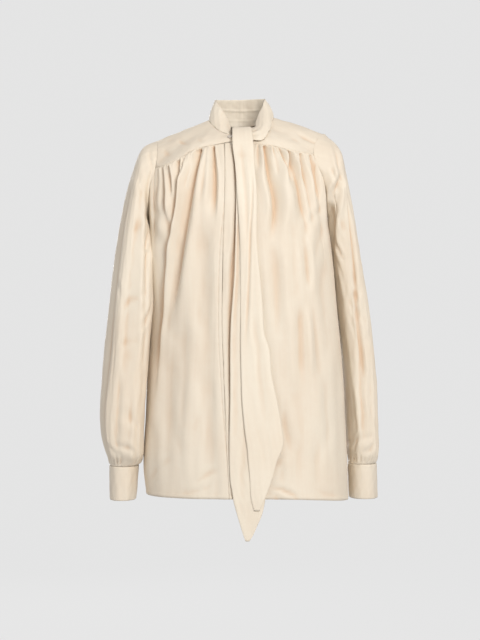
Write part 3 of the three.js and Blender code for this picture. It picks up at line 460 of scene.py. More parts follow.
# Folds that start below the seam, in the same form.
FREE_FOLDS = {
    "front_right": table(
        FOLD_COLUMNS,
        (-67, -200, -68, -260, -69, -330, -68, -425, 4.5, 15, 0.0),
        (-104, -372, -107, -460, -110, -560, -112, -714, 4.0, 16, 0.2),
        (-133, -430, -136, -520, -139, -610, -141, -722, 4.0, 13, 0.0),
        (-60, -470, -62, -560, -63, -640, -62, -722, 3.5, 17, -0.1),
        (-84, -520, -86, -590, -86, -660, -85, -722, 2.0, 10, 0.0),
        (-160, -560, -161, -610, -162, -670, -162, -722, 3.0, 9, 0.0),
    ),
    "front_left": table(
        FOLD_COLUMNS,
        (62, -240, 66, -280, 69, -340, 71, -430, 4.0, 10, 0.0),
        (118, -222, 124, -262, 126, -294, 128, -345, 5.5, 7, 0.2),
        (118, -330, 115, -395, 114, -445, 116, -540, 5.0, 10, 0.1),
        (128, -318, 135, -377, 142, -423, 147, -520, 4.0, 9, 0.0),
        (82, -530, 84, -577, 89, -603, 96, -650, 4.0, 10, 0.0),
        (156, -250, 158, -400, 163, -540, 168, -722, 4.0, 14, 0.0),
        (104, -480, 108, -560, 112, -640, 114, -722, 4.0, 17, -0.1),
        (140, -560, 143, -610, 144, -660, 146, -722, 3.0, 11, 0.0),
        (184, -440, 187, -540, 190, -640, 192, -722, 3.0, 9, 0.0),
    ),
    "back": table(
        FOLD_COLUMNS,
        (-112, -420, -117, -520, -120, -620, -121, -722, 4.5, 17, 0.0),
        (-86, -400, -90, -480, -92, -560, -93, -660, 3.5, 13, 0.0),
        (34, -400, 30, -500, 26, -610, 22, -722, 4.5, 18, 0.0),
        (-24, -470, -26, -560, -28, -640, -29, -722, 3.5, 14, 0.0),
        (112, -440, 116, -540, 120, -640, 123, -722, 4.5, 17, 0.0),
        (84, -500, 84, -580, 86, -650, 86, -722, 3.0, 13, 0.0),
        (-150, -500, -153, -580, -155, -650, -156, -722, 3.0, 12, 0.0),
        (160, -480, 165, -560, 168, -650, 170, -722, 3.0, 12, 0.0),
    ),
}
FREE_RISE = 55.0  # the length over which a free fold rises to its full depth

# Finer gathers below the yoke's seam: how far each opens down and how deep it is.
FINE_COLUMNS = "x lean length depth width"
FINE_GATHERS = {
    "front_right": table(
        FINE_COLUMNS,
        (-43, 0.0, 46, 2.5, 2.8),
        (-55, -0.1, 34, 3.1, 2.5),
        (-67, -0.2, 39, 2.8, 2.5),
        (-83, -0.3, 51, 3.7, 2.8),
        (-87, -0.2, 21, 2.5, 2.1),
        (-96, -0.2, 30, 3.1, 2.3),
        (-101, -0.24, 46, 3.4, 2.5),
        (-111, -0.1, 23, 2.8, 2.1),
        (-120, -0.05, 39, 3.4, 2.5),
        (-126, 0.02, 51, 3.4, 2.8),
        (-139, 0.02, 41, 3.4, 2.5),
        (-149, 0.0, 34, 2.8, 2.5),
    ),
    "front_left": table(
        FINE_COLUMNS,
        (40, 0.1, 28, 2.2, 2.5),
        (53, 0.24, 39, 3.1, 2.5),
        (67, 0.3, 32, 3.1, 2.5),
        (79, 0.5, 25, 2.8, 2.3),
        (89, 0.34, 34, 3.1, 2.5),
        (101, 0.3, 51, 3.7, 2.8),
        (108, 0.26, 34, 3.4, 2.5),
        (121, 0.2, 46, 3.4, 2.8),
        (127, 0.2, 30, 3.1, 2.5),
        (139, 0.2, 28, 2.5, 2.3),
    ),
}

# Slanting creases on the panels: from one place to another, bowed, as a trough with soft ridges.
CREASE_COLUMNS = "x0 z0 x1 z1 bow depth width"
PANEL_CREASES = {
    "front_right": table(
        CREASE_COLUMNS,
        (-166, -168, -120, -262, -8, 1.8, 7),
        (-168, -196, -132, -322, -7, 1.6, 8),
        (-160, -300, -120, -430, 6, 1.1, 10),
        (-40, -662, -84, -692, 5, 1.3, 6),
        (-50, -690, -112, -705, -3, 0.9, 4.5),
        (-130, -640, -176, -700, 5, 1.4, 8),
        (-36, -240, -52, -262, 2, 0.7, 4),
        (-36, -300, -56, -312, 2, 0.6, 4),
        (-84, -352, -58, -452, -6, 0.9, 11),
        (-142, -520, -104, -640, 7, 1.0, 12),
        (-70, -560, -98, -612, 3, 0.7, 9),
    ),
    "front_left": table(
        CREASE_COLUMNS,
        (160, -170, 118, -246, 9, 2.0, 7),
        (164, -200, 132, -330, 8, 1.7, 8),
        (57, -694, 112, -716, -4, 1.9, 4.5),
        (57, -708, 82, -720, -2, 1.4, 3.4),
        (86, -636, 60, -668, 4, 1.2, 6),
        (70, -640, 74, -690, -4, 1.0, 8),
        (176, -560, 130, -660, -6, 1.1, 11),
        (140, -700, 196, -712, 3, 0.9, 5),
        (92, -330, 120, -410, 6, 0.9, 11),
        (168, -390, 138, -500, -6, 1.0, 11),
    ),
    "back": table(
        CREASE_COLUMNS,
        (-162, -170, -104, -270, -9, 2.0, 8),
        (-166, -200, -124, -330, -8, 1.6, 8),
        (160, -168, 106, -262, 9, 2.0, 8),
        (166, -202, 126, -340, 8, 1.6, 8),
        (-150, -640, -70, -690, 8, 1.3, 9),
        (172, -600, 100, -690, -8, 1.3, 9),
        (-30, -380, -70, -500, 7, 1.0, 12),
        (60, -360, 34, -470, -6, 1.0, 12),
        (-96, -694, -20, -706, 3, 0.8, 5),
        (40, -690, 112, -708, -3, 0.9, 5),
    ),
}

# Lengthwise folds of the sleeves: where round the sleeve they start and end, and between which rings.
SLEEVE_FOLDS = {
    "right": table(
        "turn footTurn from to depth width",
        (118, 128, 3, 12, 2.0, 14),
        (20, 26, 2, 12.5, 4.0, 12),
        (330, 322, 2, 12, 4.5, 15),
        (285, 290, 1, 8, 4.0, 14),
        (250, 240, 4, 12.5, 4.5, 15),
    ),
    "left": table(
        "turn footTurn from to depth width",
        (36, 44, 1.5, 12.5, 4.0, 10),
        (5, 8, 3, 12, 3.5, 12),
        (320, 316, 1, 12, 4.5, 15),
        (270, 276, 2, 10, 4.5, 15),
        (236, 228, 5, 12.5, 4.0, 14),
    ),
}
FOLD_FADE = 1.5  # the rings over which a sleeve's fold dies away
DEGREE_LENGTH = 0.95  # millimetres round a sleeve for each degree

# Folds and creases on the sleeves' fronts, seen from the front.
SLEEVE_FRONT_FOLDS = {
    "right": table(
        FOLD_COLUMNS,
        (-186, -92, -200, -190, -217, -312, -236, -620, -2.2, 7.0, 0.0),
        (-171, -108, -171, -170, -173, -260, -176, -400, 4.5, 4.5, 0.2),
        (-204, -500, -206, -560, -208, -610, -210, -655, 3.0, 7.0, 0.0),
        (-222, -470, -226, -540, -230, -600, -232, -655, 3.0, 6.0, 0.0),
    ),
    "left": table(
        FOLD_COLUMNS,
        (198, -84, 213, -253, 223, -397, 250, -590, 4.5, 3.4, -0.3),
        (190, -108, 182, -160, 175, -205, 177, -268, 9.0, 7.5, 0.2),
        (212, -500, 214, -560, 218, -610, 222, -655, 3.0, 7.0, 0.0),
        (228, -420, 230, -500, 234, -570, 238, -655, 3.5, 6.0, 0.0),
        (246, -470, 248, -530, 250, -590, 250, -655, 3.0, 6.0, 0.0),
    ),
}

# Slanting creases of the sleeves, from one place to another: degrees round the sleeve, and heights.
SLEEVE_CREASES = {
    "right": table(
        CREASE_COLUMNS,
        (120, -330, 60, -372, 4, 1.8, 7),
        (150, -352, 96, -404, -5, 2.0, 7),
        (20, -300, 66, -352, -4, 1.4, 7),
        (100, -420, 50, -452, 4, 1.2, 7),
        (136, -214, 92, -262, -4, 1.8, 6),
        (150, -236, 110, -300, 5, 1.6, 7),
        (84, -548, 126, -590, 5, 1.6, 8),
        (70, -618, 120, -646, -5, 1.8, 6),
        (30, -600, 74, -640, 4, 1.2, 6),
        (210, -330, 262, -372, 5, 2.0, 8),
        (190, -372, 250, -410, -5, 1.9, 8),
        (300, -300, 250, -344, 5, 1.6, 8),
        (220, -230, 268, -290, -5, 1.8, 7),
        (240, -600, 300, -636, 5, 1.7, 7),
        (330, -580, 300, -620, 4, 1.3, 7),
    ),
    "left": table(
        CREASE_COLUMNS,
        (70, -318, 118, -360, 5, 1.7, 7),
        (104, -352, 60, -400, -4, 1.6, 7),
        (140, -220, 96, -276, -5, 2.0, 7),
        (152, -250, 118, -320, 5, 1.6, 7),
        (40, -392, 84, -430, 4, 1.1, 8),
        (60, -612, 104, -642, 5, 1.9, 6),
        (98, -600, 140, -640, -4, 1.6, 6),
        (40, -560, 72, -600, 4, 1.2, 8),
        (215, -330, 262, -380, 5, 2.0, 8),
        (196, -380, 252, -420, -5, 1.8, 8),
        (300, -310, 256, -352, 5, 1.6, 8),
        (222, -226, 268, -290, -5, 1.8, 7),
        (246, -596, 300, -634, 5, 1.7, 7),
        (20, -600, 340, -636, 4, 1.2, 7),
    ),
}

# Creases at the front of the armholes, seen from the front.
ARMHOLE_CREASES = {
    "right": table(
        CREASE_COLUMNS,
        (-172, -60, -164, -102, 2, 1.8, 3.6),
        (-163, -94, -171, -140, -1, 3.4, 4.2),
        (-190, -110, -180, -160, 2, 1.8, 5.0),
        (-176, -180, -200, -226, -3, 2.2, 6.0),
    ),
    "left": table(
        CREASE_COLUMNS,
        (177, -46, 191, -124, -2, 4.6, 5.0),
        (194, -108, 172, -150, -3, 5.0, 5.5),
        (178, -132, 168, -200, 2, 5.0, 5.5),
        (172, -96, 184, -128, 2, 2.4, 4.0),
        (182, -170, 206, -226, 3, 2.2, 6.0),
    ),
}

# Wrinkles of the yoke, in the same form, at its front and at its back.
YOKE_CREASES = {
    "front": table(
        CREASE_COLUMNS,
        (-120, -42, -94, -58, 2, 1.7, 4.0),
        (-108, -33, -152, -48, -3, 1.3, 5.0),
        (-82, -44, -66, -52, 1, 1.3, 4.0),
        (-146, -60, -128, -78, 2, 1.0, 5.0),
        (116, -39, 154, -53, 2, 1.6, 4.0),
        (104, -29, 130, -44, 2, 1.3, 4.5),
        (86, -45, 114, -52, -1, 1.0, 5.0),
        (60, -30, 92, -36, 2, 0.8, 6.0),
    ),
    "back": table(
        CREASE_COLUMNS,
        (-120, -48, -84, -66, 3, 1.5, 5.0),
        (-60, -30, -24, -52, -3, 1.1, 6.0),
        (20, -50, 64, -32, 3, 1.2, 6.0),
        (90, -70, 128, -52, -2, 1.5, 5.0),
        (-20, -84, 34, -90, 2, 0.9, 6.0),
    ),
}

# Soft uneven waves over each piece: height, length across, length down and seed.
WAVES = {
    "front_right": {"broad": (0.9, 74, 520, 11), "fine": (0.14, 24, 90, 21)},
    "front_left": {"broad": (0.9, 74, 520, 12), "fine": (0.14, 24, 90, 22)},
    "back": {"broad": (0.9, 74, 520, 13), "fine": (0.14, 24, 90, 23)},
    "yoke": {"broad": (0.5, 46, 38, 41), "fine": (0.22, 9, 22, 42)},
    "placket": {"broad": (0.5, 26, 55, 51)},
    "collar": {"broad": (0.35, 34, 26, 61), "fine": (0.18, 9, 30, 62)},
    "tail_front": {"broad": (0.5, 60, 260, 71), "fine": (0.1, 16, 50, 73)},
    "tail_rear": {"broad": (0.5, 60, 260, 72), "fine": (0.1, 16, 50, 74)},
    "sleeve_right": {"broad": (0.8, 40, 150, 84), "fine": (0.3, 15, 44, 86)},
    "sleeve_left": {"broad": (0.8, 40, 150, 83), "fine": (0.3, 15, 44, 85)},
    "cuff_right": {"broad": (0.4, 34, 40, 91)},
    "cuff_left": {"broad": (0.4, 34, 40, 92)},
}
RIPPLE_COUNT = 7

# How deep and how wide the cloth is drawn in along each seam and edge.
SEAMS = {
    "panel_top": (0.9, 1.5),
    "placket": (0.6, 1.6),
    "placket_top": (0.8, 2.4),
    "hem": (0.45, 1.3),
    "yoke_edge": (0.1, 1.0),
    "neckline": (0.7, 1.8),
    "collar_middle": (0.9, 1.3),
    "tail_edge": (0.8, 1.6),
    "armhole": (0.5, 1.2),
    "sleeve_end": (0.7, 1.6),
    "cuff_top": (0.6, 1.6),
    "cuff_edge": (0.35, 1.2),
    "cuff_stitches": (0.25, 1.0),
}

# Unevenly spaced gathers along the back's seam: spread is how far the outermost ones lean outwards.
BACK_GATHERS = {
    "seed": 31,
    "start": -140,
    "end": 142,
    "spacing": 6.5,
    "length": 38,
    "depth": 2.8,
    "width": 2.6,
    "spread": 0.1,
}
# Gathers at the two ends of a sleeve: the degrees where they lie, and the range of each one's form.
SLEEVE_GATHERS = {
    "cuff": {
        "lines": (6, 360, 15.0),
        "shift": 4,
        "lean": 0.12,
        "width": (3.6, 5.2),
        "length": (16, 46),
        "depth": (1.0, 2.0),
        "rise": 8,
    },
    "cap": {
        "lines": (-70, 80, 9.0),
        "shift": 2.5,
        "lean": 0,
        "width": (2.4, 3.4),
        "length": (8, 22),
        "depth": (0.3, 0.8),
        "rise": 4,
    },
}
SLEEVE_SEEDS = {"right": 81, "left": 82}

# How finely the sheets are divided: around or across, and down. The yoke is softened that many times, and
# a tail's way is first laid out in the rows of its path.
FRONT_GRID = {"seam": 128, "armhole": 36, "rows": 190}
BACK_GRID = {"seam": 132, "armhole": 32, "rows": 170}
YOKE_GRID = {"stretch": 58, "rows": 40, "soften": 36}
SLEEVE_GRID = {"round": 132, "rows": 190}
CUFF_GRID = {"round": 150, "rows": 26}
COLLAR_GRID = {"band": 130, "strip": 70, "rows": 26, "tuck": 5}
TAIL_GRID = {"across": 40, "rows": 250, "path": 90}
PLACKET_GRID = {"across": 14, "rows": 240}

# Painted shade in the folds: how wide a fold is whose hollow is painted darker, and how deep it is where the
# painted shade is full.
PAINTED_SHADE_REACH = 8.5
PAINTED_SHADE_DEPTH = 2.4
PAINTED_SHADE_SHARE = 0.75  # share of the painted shade colour in a full hollow

# The studio's lights in metres, all turned to the middle of the blouse.
LIGHTS = {
    "key": {"place": (1.3, -3.3, 1.0), "size": 1.5, "colour": (1.0, 0.97, 0.93)},
    "fill": {"place": (-2.6, -2.8, 0.6), "size": 2.2, "colour": (1.0, 0.98, 0.96)},
    "behind": {"place": (-0.7, 3.6, 0.3), "size": 2.0, "colour": (1.0, 0.98, 0.95)},
}
LIGHT_TARGET = (0.0, 0.0, -0.35)
# The studio's bowl: its bend and its wall as shares of its radius, and how finely it is divided.
BOWL = {"bend": 0.45, "wall": 1.6, "steps": 12, "segments": 96}
AIR_COLOUR = (1.0, 0.975, 0.95, 1)


def smooth(start, end, at):
    """0 before start, 1 after end, and a soft step between them."""
    t = np.clip((np.asarray(at, float) - start) / (end - start), 0, 1)
    return t * t * (3 - 2 * t)


def mix(low, high, t):
    """The value a share t of the way from low to high."""
    return low + (high - low) * t


def near(distance, width):
    """1 on a line, falling away from it on both sides."""
    return np.exp(-((distance / width) ** 2))


def drawn_in(seam, distance):
    """How far the cloth is drawn in at a distance from a seam."""
    depth, width = SEAMS[seam]
    return depth * near(distance, width)


def signed_power(value, power):
    """A power that keeps the sign."""
    return np.sign(value) * np.abs(value) ** power


def read(rows, at, column):
    """A column of a table at some places along its first column, on a smooth curve through the rows."""
    places, values = next(iter(rows.values())), rows[column]
    rising = 1 if places[1] > places[0] else -1
    at = np.asarray(at, float)
    last = len(places) - 1
    here = np.clip(np.searchsorted(places * rising, at * rising, side="left") - 1, 0, last - 1)
    low, high = np.maximum(np.arange(last + 1) - 1, 0), np.minimum(np.arange(last + 1) + 1, last)
    slope = (values[high] - values[low]) / (places[high] - places[low])
    span = places[here + 1] - places[here]
    t = np.clip((at - places[here]) / span, 0, 1)
    return (
        values[here] * (2 * t**3 - 3 * t**2 + 1)
        + values[here + 1] * (3 * t**2 - 2 * t**3)
        + span * slope[here] * (t**3 - 2 * t**2 + t)
        + span * slope[here + 1] * (t**3 - t**2)
    )


def unit(vectors):
    """Vectors of the same direction and of length 1."""
    return vectors / np.maximum(np.linalg.norm(vectors, axis=-1, keepdims=True), 1e-9)


def points(x, y, z):
    """Points from their coordinates, each a number or an array."""
    return np.stack(np.broadcast_arrays(x, y, z), -1).astype(float)


def hem_z(angle):
    """The height of the hem at an angle of the body's ring."""
    leftward, backward = np.maximum(np.cos(angle), 0), np.maximum(np.sin(angle), 0)
    return HEM_Z - HEM_DROP_LEFT * leftward**2 - HEM_DROP_BACK * backward**2


def ring(z):
    """The middle, half width, front depth and back depth of the body at a height."""
    right, left = read(BODY, z, "right"), read(BODY, z, "left")
    return (left + right) / 2, (left - right) / 2, read(BODY, z, "front"), read(BODY, z, "back")


def body_point(angle, z):
    """A point of the body's ring: angle 0 is the left side, and negative angles are at the front."""
    middle, half, front, back = ring(z)
    side = signed_power(np.cos(angle), 2 / SQUARENESS)
    depth = signed_power(np.sin(angle), 2 / SQUARENESS)
    return points(middle + half * side, depth * np.where(depth < 0, front, back), z)


def body_angle(point):
    """The angle at which a point lies on the body's ring."""
    x, y, z = point[..., 0], point[..., 1], point[..., 2]
    middle, half, front, back = ring(z)
    side = signed_power((x - middle) / half, SQUARENESS / 2)
    depth = signed_power(y / np.where(y < 0, front, back), SQUARENESS / 2)
    return np.arctan2(depth, side)


def body_depth(x, z, is_back=False):
    """The y of the body's front or back at a place."""
    middle, half, front, back = ring(z)
    share = np.minimum(np.abs((x - middle) / half), 1)
    depth = (1 - share**SQUARENESS) ** (1 / SQUARENESS)
    return back * depth if is_back else -front * depth


def armhole_point(side, turn):
    """A point of an armhole at a turn in degrees."""
    turn = np.asarray(turn, float)
    c, s = np.cos(np.radians(turn)), np.sin(np.radians(turn))
    x = read(ARMHOLE_SIDE, (turn + 360) % 360, side.name)
    y = -s * np.where(s > 0, ARMHOLE_FRONT, ARMHOLE_BACK)
    return points(x, y, side.top - ARMHOLE_HEIGHT / 2 * (1 - c))


def front_seam(side, t):
    """A point of the seam between a front and the yoke: t runs from the front's edge to the armhole."""
    end = armhole_point(side, side.seam_turn)
    x = mix(side.start, end[0], t)
    z = mix(read(YOKE_SEAM[side.name], x, "z"), end[2], t**6)
    miss = end[1] - body_depth(end[0], end[2])
    return points(x, body_depth(x, z) + miss * t**3, z)


def back_seam(t):
    """A point of the seam between the back and the yoke: t runs from the right armhole to the left one."""
    start, end = armhole_point(RIGHT, RIGHT.back_turn), armhole_point(LEFT, LEFT.back_turn)
    x = mix(start[0], end[0], t)
    z = mix(start[2], end[2], t) - BACK_SEAM_DIP * np.sin(np.pi * t)
    miss_start = start[1] - body_depth(start[0], start[2], True)
    miss_end = end[1] - body_depth(end[0], end[2], True)
    return points(x, body_depth(x, z, True) + miss_start * (1 - t) ** 3 + miss_end * t**3, z)


def trough(off):
    """A trough with a soft ridge on each side, at a distance from its line measured in its own widths."""
    return 0.4 * (near(off - 1.7, 1) + near(off + 1.7, 1)) - near(off, 1)


def pucker(z):
    """The small uneven puckers along a seam that runs down the cloth."""
    return np.sin(z / 3.1 + 2 * np.sin(z / 23))


def fold_height(folds, x, z, seam_z=None):
    """The height of long folds at a place of a panel, which hang from a seam where its height is given."""
    height = np.zeros(np.broadcast(x, z).shape)
    for x1, z1, x2, z2, x3, z3, x4, z4, depth, width, skew in zip(*folds.values()):
        line = read({"z": np.array([z1, z2, z3, z4]), "x": np.array([x1, x2, x3, x4])}, z, "x")
        t = (z1 - z) / (z1 - z4)
        if seam_z is None:
            rise = smooth(0, FREE_RISE, z1 - z)
            spread = width
        else:
            rise = smooth(0.4, 6, seam_z - z)
            spread = width * (0.5 + 0.5 * smooth(0, 0.4, t))
        off = (x - line) / spread
        off = off / (1 + skew * np.tanh(-3 * off))
        height += depth * rise * (1 - smooth(0.55, 1, t)) * trough(off)
    return height


def gather_height(gathers, x, z, seam_z):
    """The height of fine gathers that open below a seam and die away down the panel."""
    height = np.zeros(np.broadcast(x, z).shape)
    below = seam_z - z
    for top_x, lean, length, depth, width in zip(*gathers.values()):
        line = top_x + lean * below
        shape = smooth(0.3, 4, below) * (1 - smooth(0.25 * length, length, below))
        height += depth * shape * trough((x - line) / (width * (0.8 + below.clip(0) / 50)))
    return height


def crease_height(creases, x, z):
    """The height of slanting creases, each between two places, deepest in its middle."""
    height = np.zeros(np.broadcast(x, z).shape)
    for x0, z0, x1, z1, bow, depth, width in zip(*creases.values()):
        run_x, run_z = x1 - x0, z1 - z0
        length = math.hypot(run_x, run_z)
        t = ((x - x0) * run_x + (z - z0) * run_z) / length**2
        off = ((x - x0) * run_z - (z - z0) * run_x) / length - bow * 4 * t * (1 - t)
        reach = np.sin(np.pi * np.clip(t, 0, 1)) ** 0.8
        height += depth * reach * trough(off / width)
    return height


def ripple(across, down, seed, across_length, down_length):
    """Soft uneven waves between about -1 and 1, longer down the cloth than across it."""
    rng = np.random.default_rng(seed)
    height = np.zeros(np.broadcast(across, down).shape)
    for _ in range(RIPPLE_COUNT):
        turn, pitch, phase = rng.uniform(-0.5, 0.5), rng.uniform(0.7, 1.6), rng.uniform(0, 2 * math.pi)
        across_share, down_share = math.cos(turn), math.sin(turn) + rng.uniform(-0.6, 0.6)
        wave = across * across_share / across_length + down * down_share / down_length
        height += np.sin(2 * math.pi * pitch * wave + phase)
    return height / math.sqrt(RIPPLE_COUNT)


def waves(piece, kind, across, down):
    """The height of one of a piece's waves."""
    height, across_length, down_length, seed = WAVES[piece][kind]
    return height * ripple(across, down, seed, across_length, down_length)


def seeded_gathers(seed, start, end, spacing, length, depth, width, spread):
    """A table of fine gathers along a seam, unevenly spaced, that spread outwards from the middle."""
    rng = np.random.default_rng(seed)
    rows = []
    x = start
    while x < end:
        lean = spread * (2 * (x - start) / (end - start) - 1) + rng.uniform(-0.05, 0.05)
        size = rng.uniform(0.6, 1.3)
        rows.append((x, lean, length * rng.uniform(0.5, 1.5), depth * size, width * rng.uniform(0.8, 1.25)))
        x += spacing * rng.uniform(0.7, 1.4)
    return table(FINE_COLUMNS, *rows)


def grid_normals(grid, loop, leftward):
    """The way a sheet faces at each of its points."""
    if loop:
        along = np.roll(grid, -1, 0) - np.roll(grid, 1, 0)
    else:
        along = np.gradient(grid, axis=0)
    down = np.gradient(grid, axis=1)
    return unit(np.cross(along, down)) * (1 if leftward else -1)


def arc_lengths(grid, axis):
    """The running length along one direction of a grid."""
    steps = np.linalg.norm(np.diff(grid, axis=axis), axis=-1)
    start = np.zeros_like(np.take(steps, [0], axis))
    return np.concatenate([start, np.cumsum(steps, axis)], axis)


def add_object(name, data):
    """An object for a mesh, a light or a camera, in the scene's collection."""
    obj = bpy.data.objects.new(name, data)
    bpy.context.collection.objects.link(obj)
    return obj


def select_only(obj):
    """Makes an object the only one selected, and the active one."""
    bpy.ops.object.select_all(action="DESELECT")
    bpy.context.view_layer.objects.active = obj
    obj.select_set(True)


def apply_modifier(obj, kind, **settings):
    """Adds a modifier with some settings and applies it."""
    modifier = obj.modifiers.new(kind.title(), kind)
    for name, value in settings.items():
        setattr(modifier, name, value)
    select_only(obj)
    bpy.ops.object.modifier_apply(modifier=modifier.name)


def make_cloth(name, grid, thickness, material, loop=False, leftward=False):
    """A closed thin sheet from a grid of outer points in millimetres, with a UV map in metres.

    The grid runs to the right seen from outside, or leftward where that is said, and down.
    """
    rows, columns = grid.shape[:2]
    index = np.arange(rows * columns).reshape(rows, columns)
    if loop:
        index = np.vstack([index, index[:1]])
    a, b, c, d = index[:-1, :-1], index[:-1, 1:], index[1:, 1:], index[1:, :-1]
    corners = (a, d, c, b) if leftward else (a, b, c, d)
    faces = np.stack(corners, -1).reshape(-1, 4)
    mesh = bpy.data.meshes.new(name)
    mesh.from_pydata((grid.reshape(-1, 3) * MM).tolist(), [], faces.tolist())
    closed = np.concatenate([grid, grid[:1]]) if loop else grid
    across = arc_lengths(closed, 0).mean(1) * MM
    down = arc_lengths(grid, 1).mean(0) * MM
    if loop:
        faces_row = np.repeat(np.arange(rows), columns - 1)
    else:
        faces_row = np.repeat(np.arange(rows - 1), columns - 1)
    faces_column = np.tile(np.arange(columns - 1), len(faces_row) // (columns - 1))
    row_step, column_step = np.array([0, 0, 1, 1]), np.array([0, 1, 1, 0])
    if leftward:
        row_step, column_step = np.array([0, 1, 1, 0]), np.array([0, 0, 1, 1])
    u = across[faces_row[:, None] + row_step]
    v = -down[faces_column[:, None] + column_step]
    layer = mesh.uv_layers.new(name="cloth")
    layer.data.foreach_set("uv", np.stack([u, v], -1).ravel())
    # The mask of painted shade: how deep each point lies in a fold, where its colour is darkened.
    painted_shade = mesh.attributes.new("painted_shade", "FLOAT", "POINT")
    painted_shade.data.foreach_set("value", painted_shade_mask(grid, loop, leftward).ravel())
    mesh.materials.append(material)
    obj = add_object(name, mesh)
    apply_modifier(obj, "SOLIDIFY", thickness=thickness, offset=-1.0, use_rim=True, use_even_offset=False)
    mesh.shade_smooth()
    return obj


def painted_shade_mask(grid, loop, leftward):
    """How deep each point of a sheet lies in a fold, as the mask of painted shade: 0 on flat cloth, 1 in a
    deep one.
    """
    soft = grid.copy()
    for axis in (0, 1):
        step = np.linalg.norm(np.diff(grid, axis=axis), axis=-1).mean()
        for _ in range(int(2 * (PAINTED_SHADE_REACH / step) ** 2) + 1):
            before, after = np.roll(soft, 1, axis), np.roll(soft, -1, axis)
            if not (loop and axis == 0):
                before[(slice(None),) * axis + (0,)] = soft[(slice(None),) * axis + (0,)]
                after[(slice(None),) * axis + (-1,)] = soft[(slice(None),) * axis + (-1,)]
            soft = (before + 2 * soft + after) / 4
    return np.clip(((soft - grid) * grid_normals(grid, loop, leftward)).sum(-1) / PAINTED_SHADE_DEPTH, 0, 1)


def declare_cloth(obj, grid, nodes, loop=False):
    """Attaches a sheet to the root and hides the imported nodes that it stands for; the width and length
    that it was cut to are worked out but not used.
    """
    closed = np.concatenate([grid, grid[:1]]) if loop else grid
    width = float(arc_lengths(closed, 0)[-1].max()) * MM
    length = float(arc_lengths(closed, 1)[:, -1].max()) * MM
    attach(obj, "root")
    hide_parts(*nodes)


def tube_faces(first, rings, sides):
    """The faces of a closed tube whose rings of points are numbered on from a first one."""
    faces = []
    for i in range(rings - 1):
        low, high = first + i * sides, first + (i + 1) * sides
        for k in range(sides):
            after = (k + 1) % sides
            faces.append((low + k, high + k, high + after, low + after))
    last = first + (rings - 1) * sides
    faces.append(tuple(first + k for k in range(sides)))
    faces.append(tuple(last + k for k in reversed(range(sides))))
    return faces


def make_thread(name, vertices, faces):
    """Stitches of thread on the blouse, from their points in metres and their faces."""
    mesh = bpy.data.meshes.new(name)
    mesh.from_pydata([tuple(v) for v in vertices], [], faces)
    mesh.materials.append(cloth_look("thread", True))
    mesh.shade_smooth()
    obj = add_object(name, mesh)
    select_only(obj)
    bpy.ops.object.mode_set(mode="EDIT")
    bpy.ops.mesh.select_all(action="SELECT")
    bpy.ops.mesh.normals_make_consistent(inside=False)
    bpy.ops.object.mode_set(mode="OBJECT")
    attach(obj, "root")


def make_stitches(name, lines, sewing):
    """Rows of stitches on cloth. Each line is its points and the way the cloth faces at each of them."""
    length, gap, radius = sewing.stitch_length / MM, sewing.stitch_gap / MM, sewing.thread_radius / MM
    shape = table("place reach", (0.0, 0.25), (0.18, 1.0), (0.5, 1.15), (0.82, 1.0), (1.0, 0.25))
    vertices, faces = [], []
    for line, facing in lines:
        run = arc_lengths(line[:, None], 0)[:, 0]
        for start in np.arange(gap, run[-1] - length, length + gap):
            faces += tube_faces(len(vertices), len(shape["place"]), TUBE_SIDES)
            for place, reach in zip(shape["place"], shape["reach"]):
                at = start + place * length
                centre = np.array([np.interp(at, run, line[:, k]) for k in range(3)])
                ahead = np.array([np.interp(at + 0.3, run, line[:, k]) for k in range(3)])
                out = unit(np.array([np.interp(at, run, facing[:, k]) for k in range(3)]))
                across = unit(np.cross(unit(ahead - centre), out))
                lift = radius * (0.9 * math.sin(math.pi * place) - 0.5)
                for k in range(TUBE_SIDES):
                    angle = 2 * math.pi * k / TUBE_SIDES
                    rim = (across * math.cos(angle) + out * math.sin(angle)) * radius * reach
                    vertices.append((centre + out * lift + rim) * MM)
    make_thread(name, vertices, faces)


def hanging_grid(tops, from_angle, to_angle, rows, relief):
    """A panel that hangs from a line of top points to the hem, pushed out by a relief.

    Each column keeps its share of the body's girth, and the difference between its top point and the body's
    ring fades away below the seam.
    """
    turns = body_angle(tops)
    turns = np.where(turns < from_angle - math.pi, turns + 2 * math.pi, turns)
    ends = mix(from_angle, to_angle, (turns - turns[0]) / (turns[-1] - turns[0]))
    miss = tops - body_point(turns, tops[:, 2])
    t = np.linspace(0, 1, rows + 1)
    drop = mix(t**ROW_CROWDING, t, EVEN_ROWS)[None, :]
    top_z = tops[:, 2][:, None]
    z = mix(top_z, hem_z(ends)[:, None], drop)
    angle = mix(turns[:, None], ends[:, None], (smooth(0, 0.87, drop) + drop) / 2)
    grid = body_point(angle, z) + miss[:, None, :] * (1 - smooth(0, MISS_FADE, drop))[..., None]
    grid[..., 2] = z
    away = unit(points(grid[..., 0] - ring(z)[0], grid[..., 1] * 1.6, 0 * z))
    return grid + away * relief(grid, top_z)[..., None]


def side_fade(grid):
    """Folds die away at the side seams, which lie at the ring's sides."""
    return smooth(0, SIDE_FADE, np.abs(np.sin(body_angle(grid))))


def hem_form(grid):
    """The turned-up hem: a shallow groove where it is sewn, and a soft roll at the edge."""
    above = arc_lengths(grid, 1)
    above = above[:, -1:] - above
    return 0.35 * near(above - 0.45 * HEM_TURN_UP, 3.0) - drawn_in("hem", above - HEM_TURN_UP)


def panel_height(name, x, z, top_z):
    """The height of a gathered panel's long folds, creases and waves."""
    height = fold_height(SEWN_FOLDS[name], x, z, top_z) + fold_height(FREE_FOLDS[name], x, z)
    height += crease_height(PANEL_CREASES[name], x, z)
    height += waves(name, "broad", x, z) * smooth(30, 220, top_z - z)
    return height + waves(name, "fine", x, z) * smooth(6, 60, top_z - z)


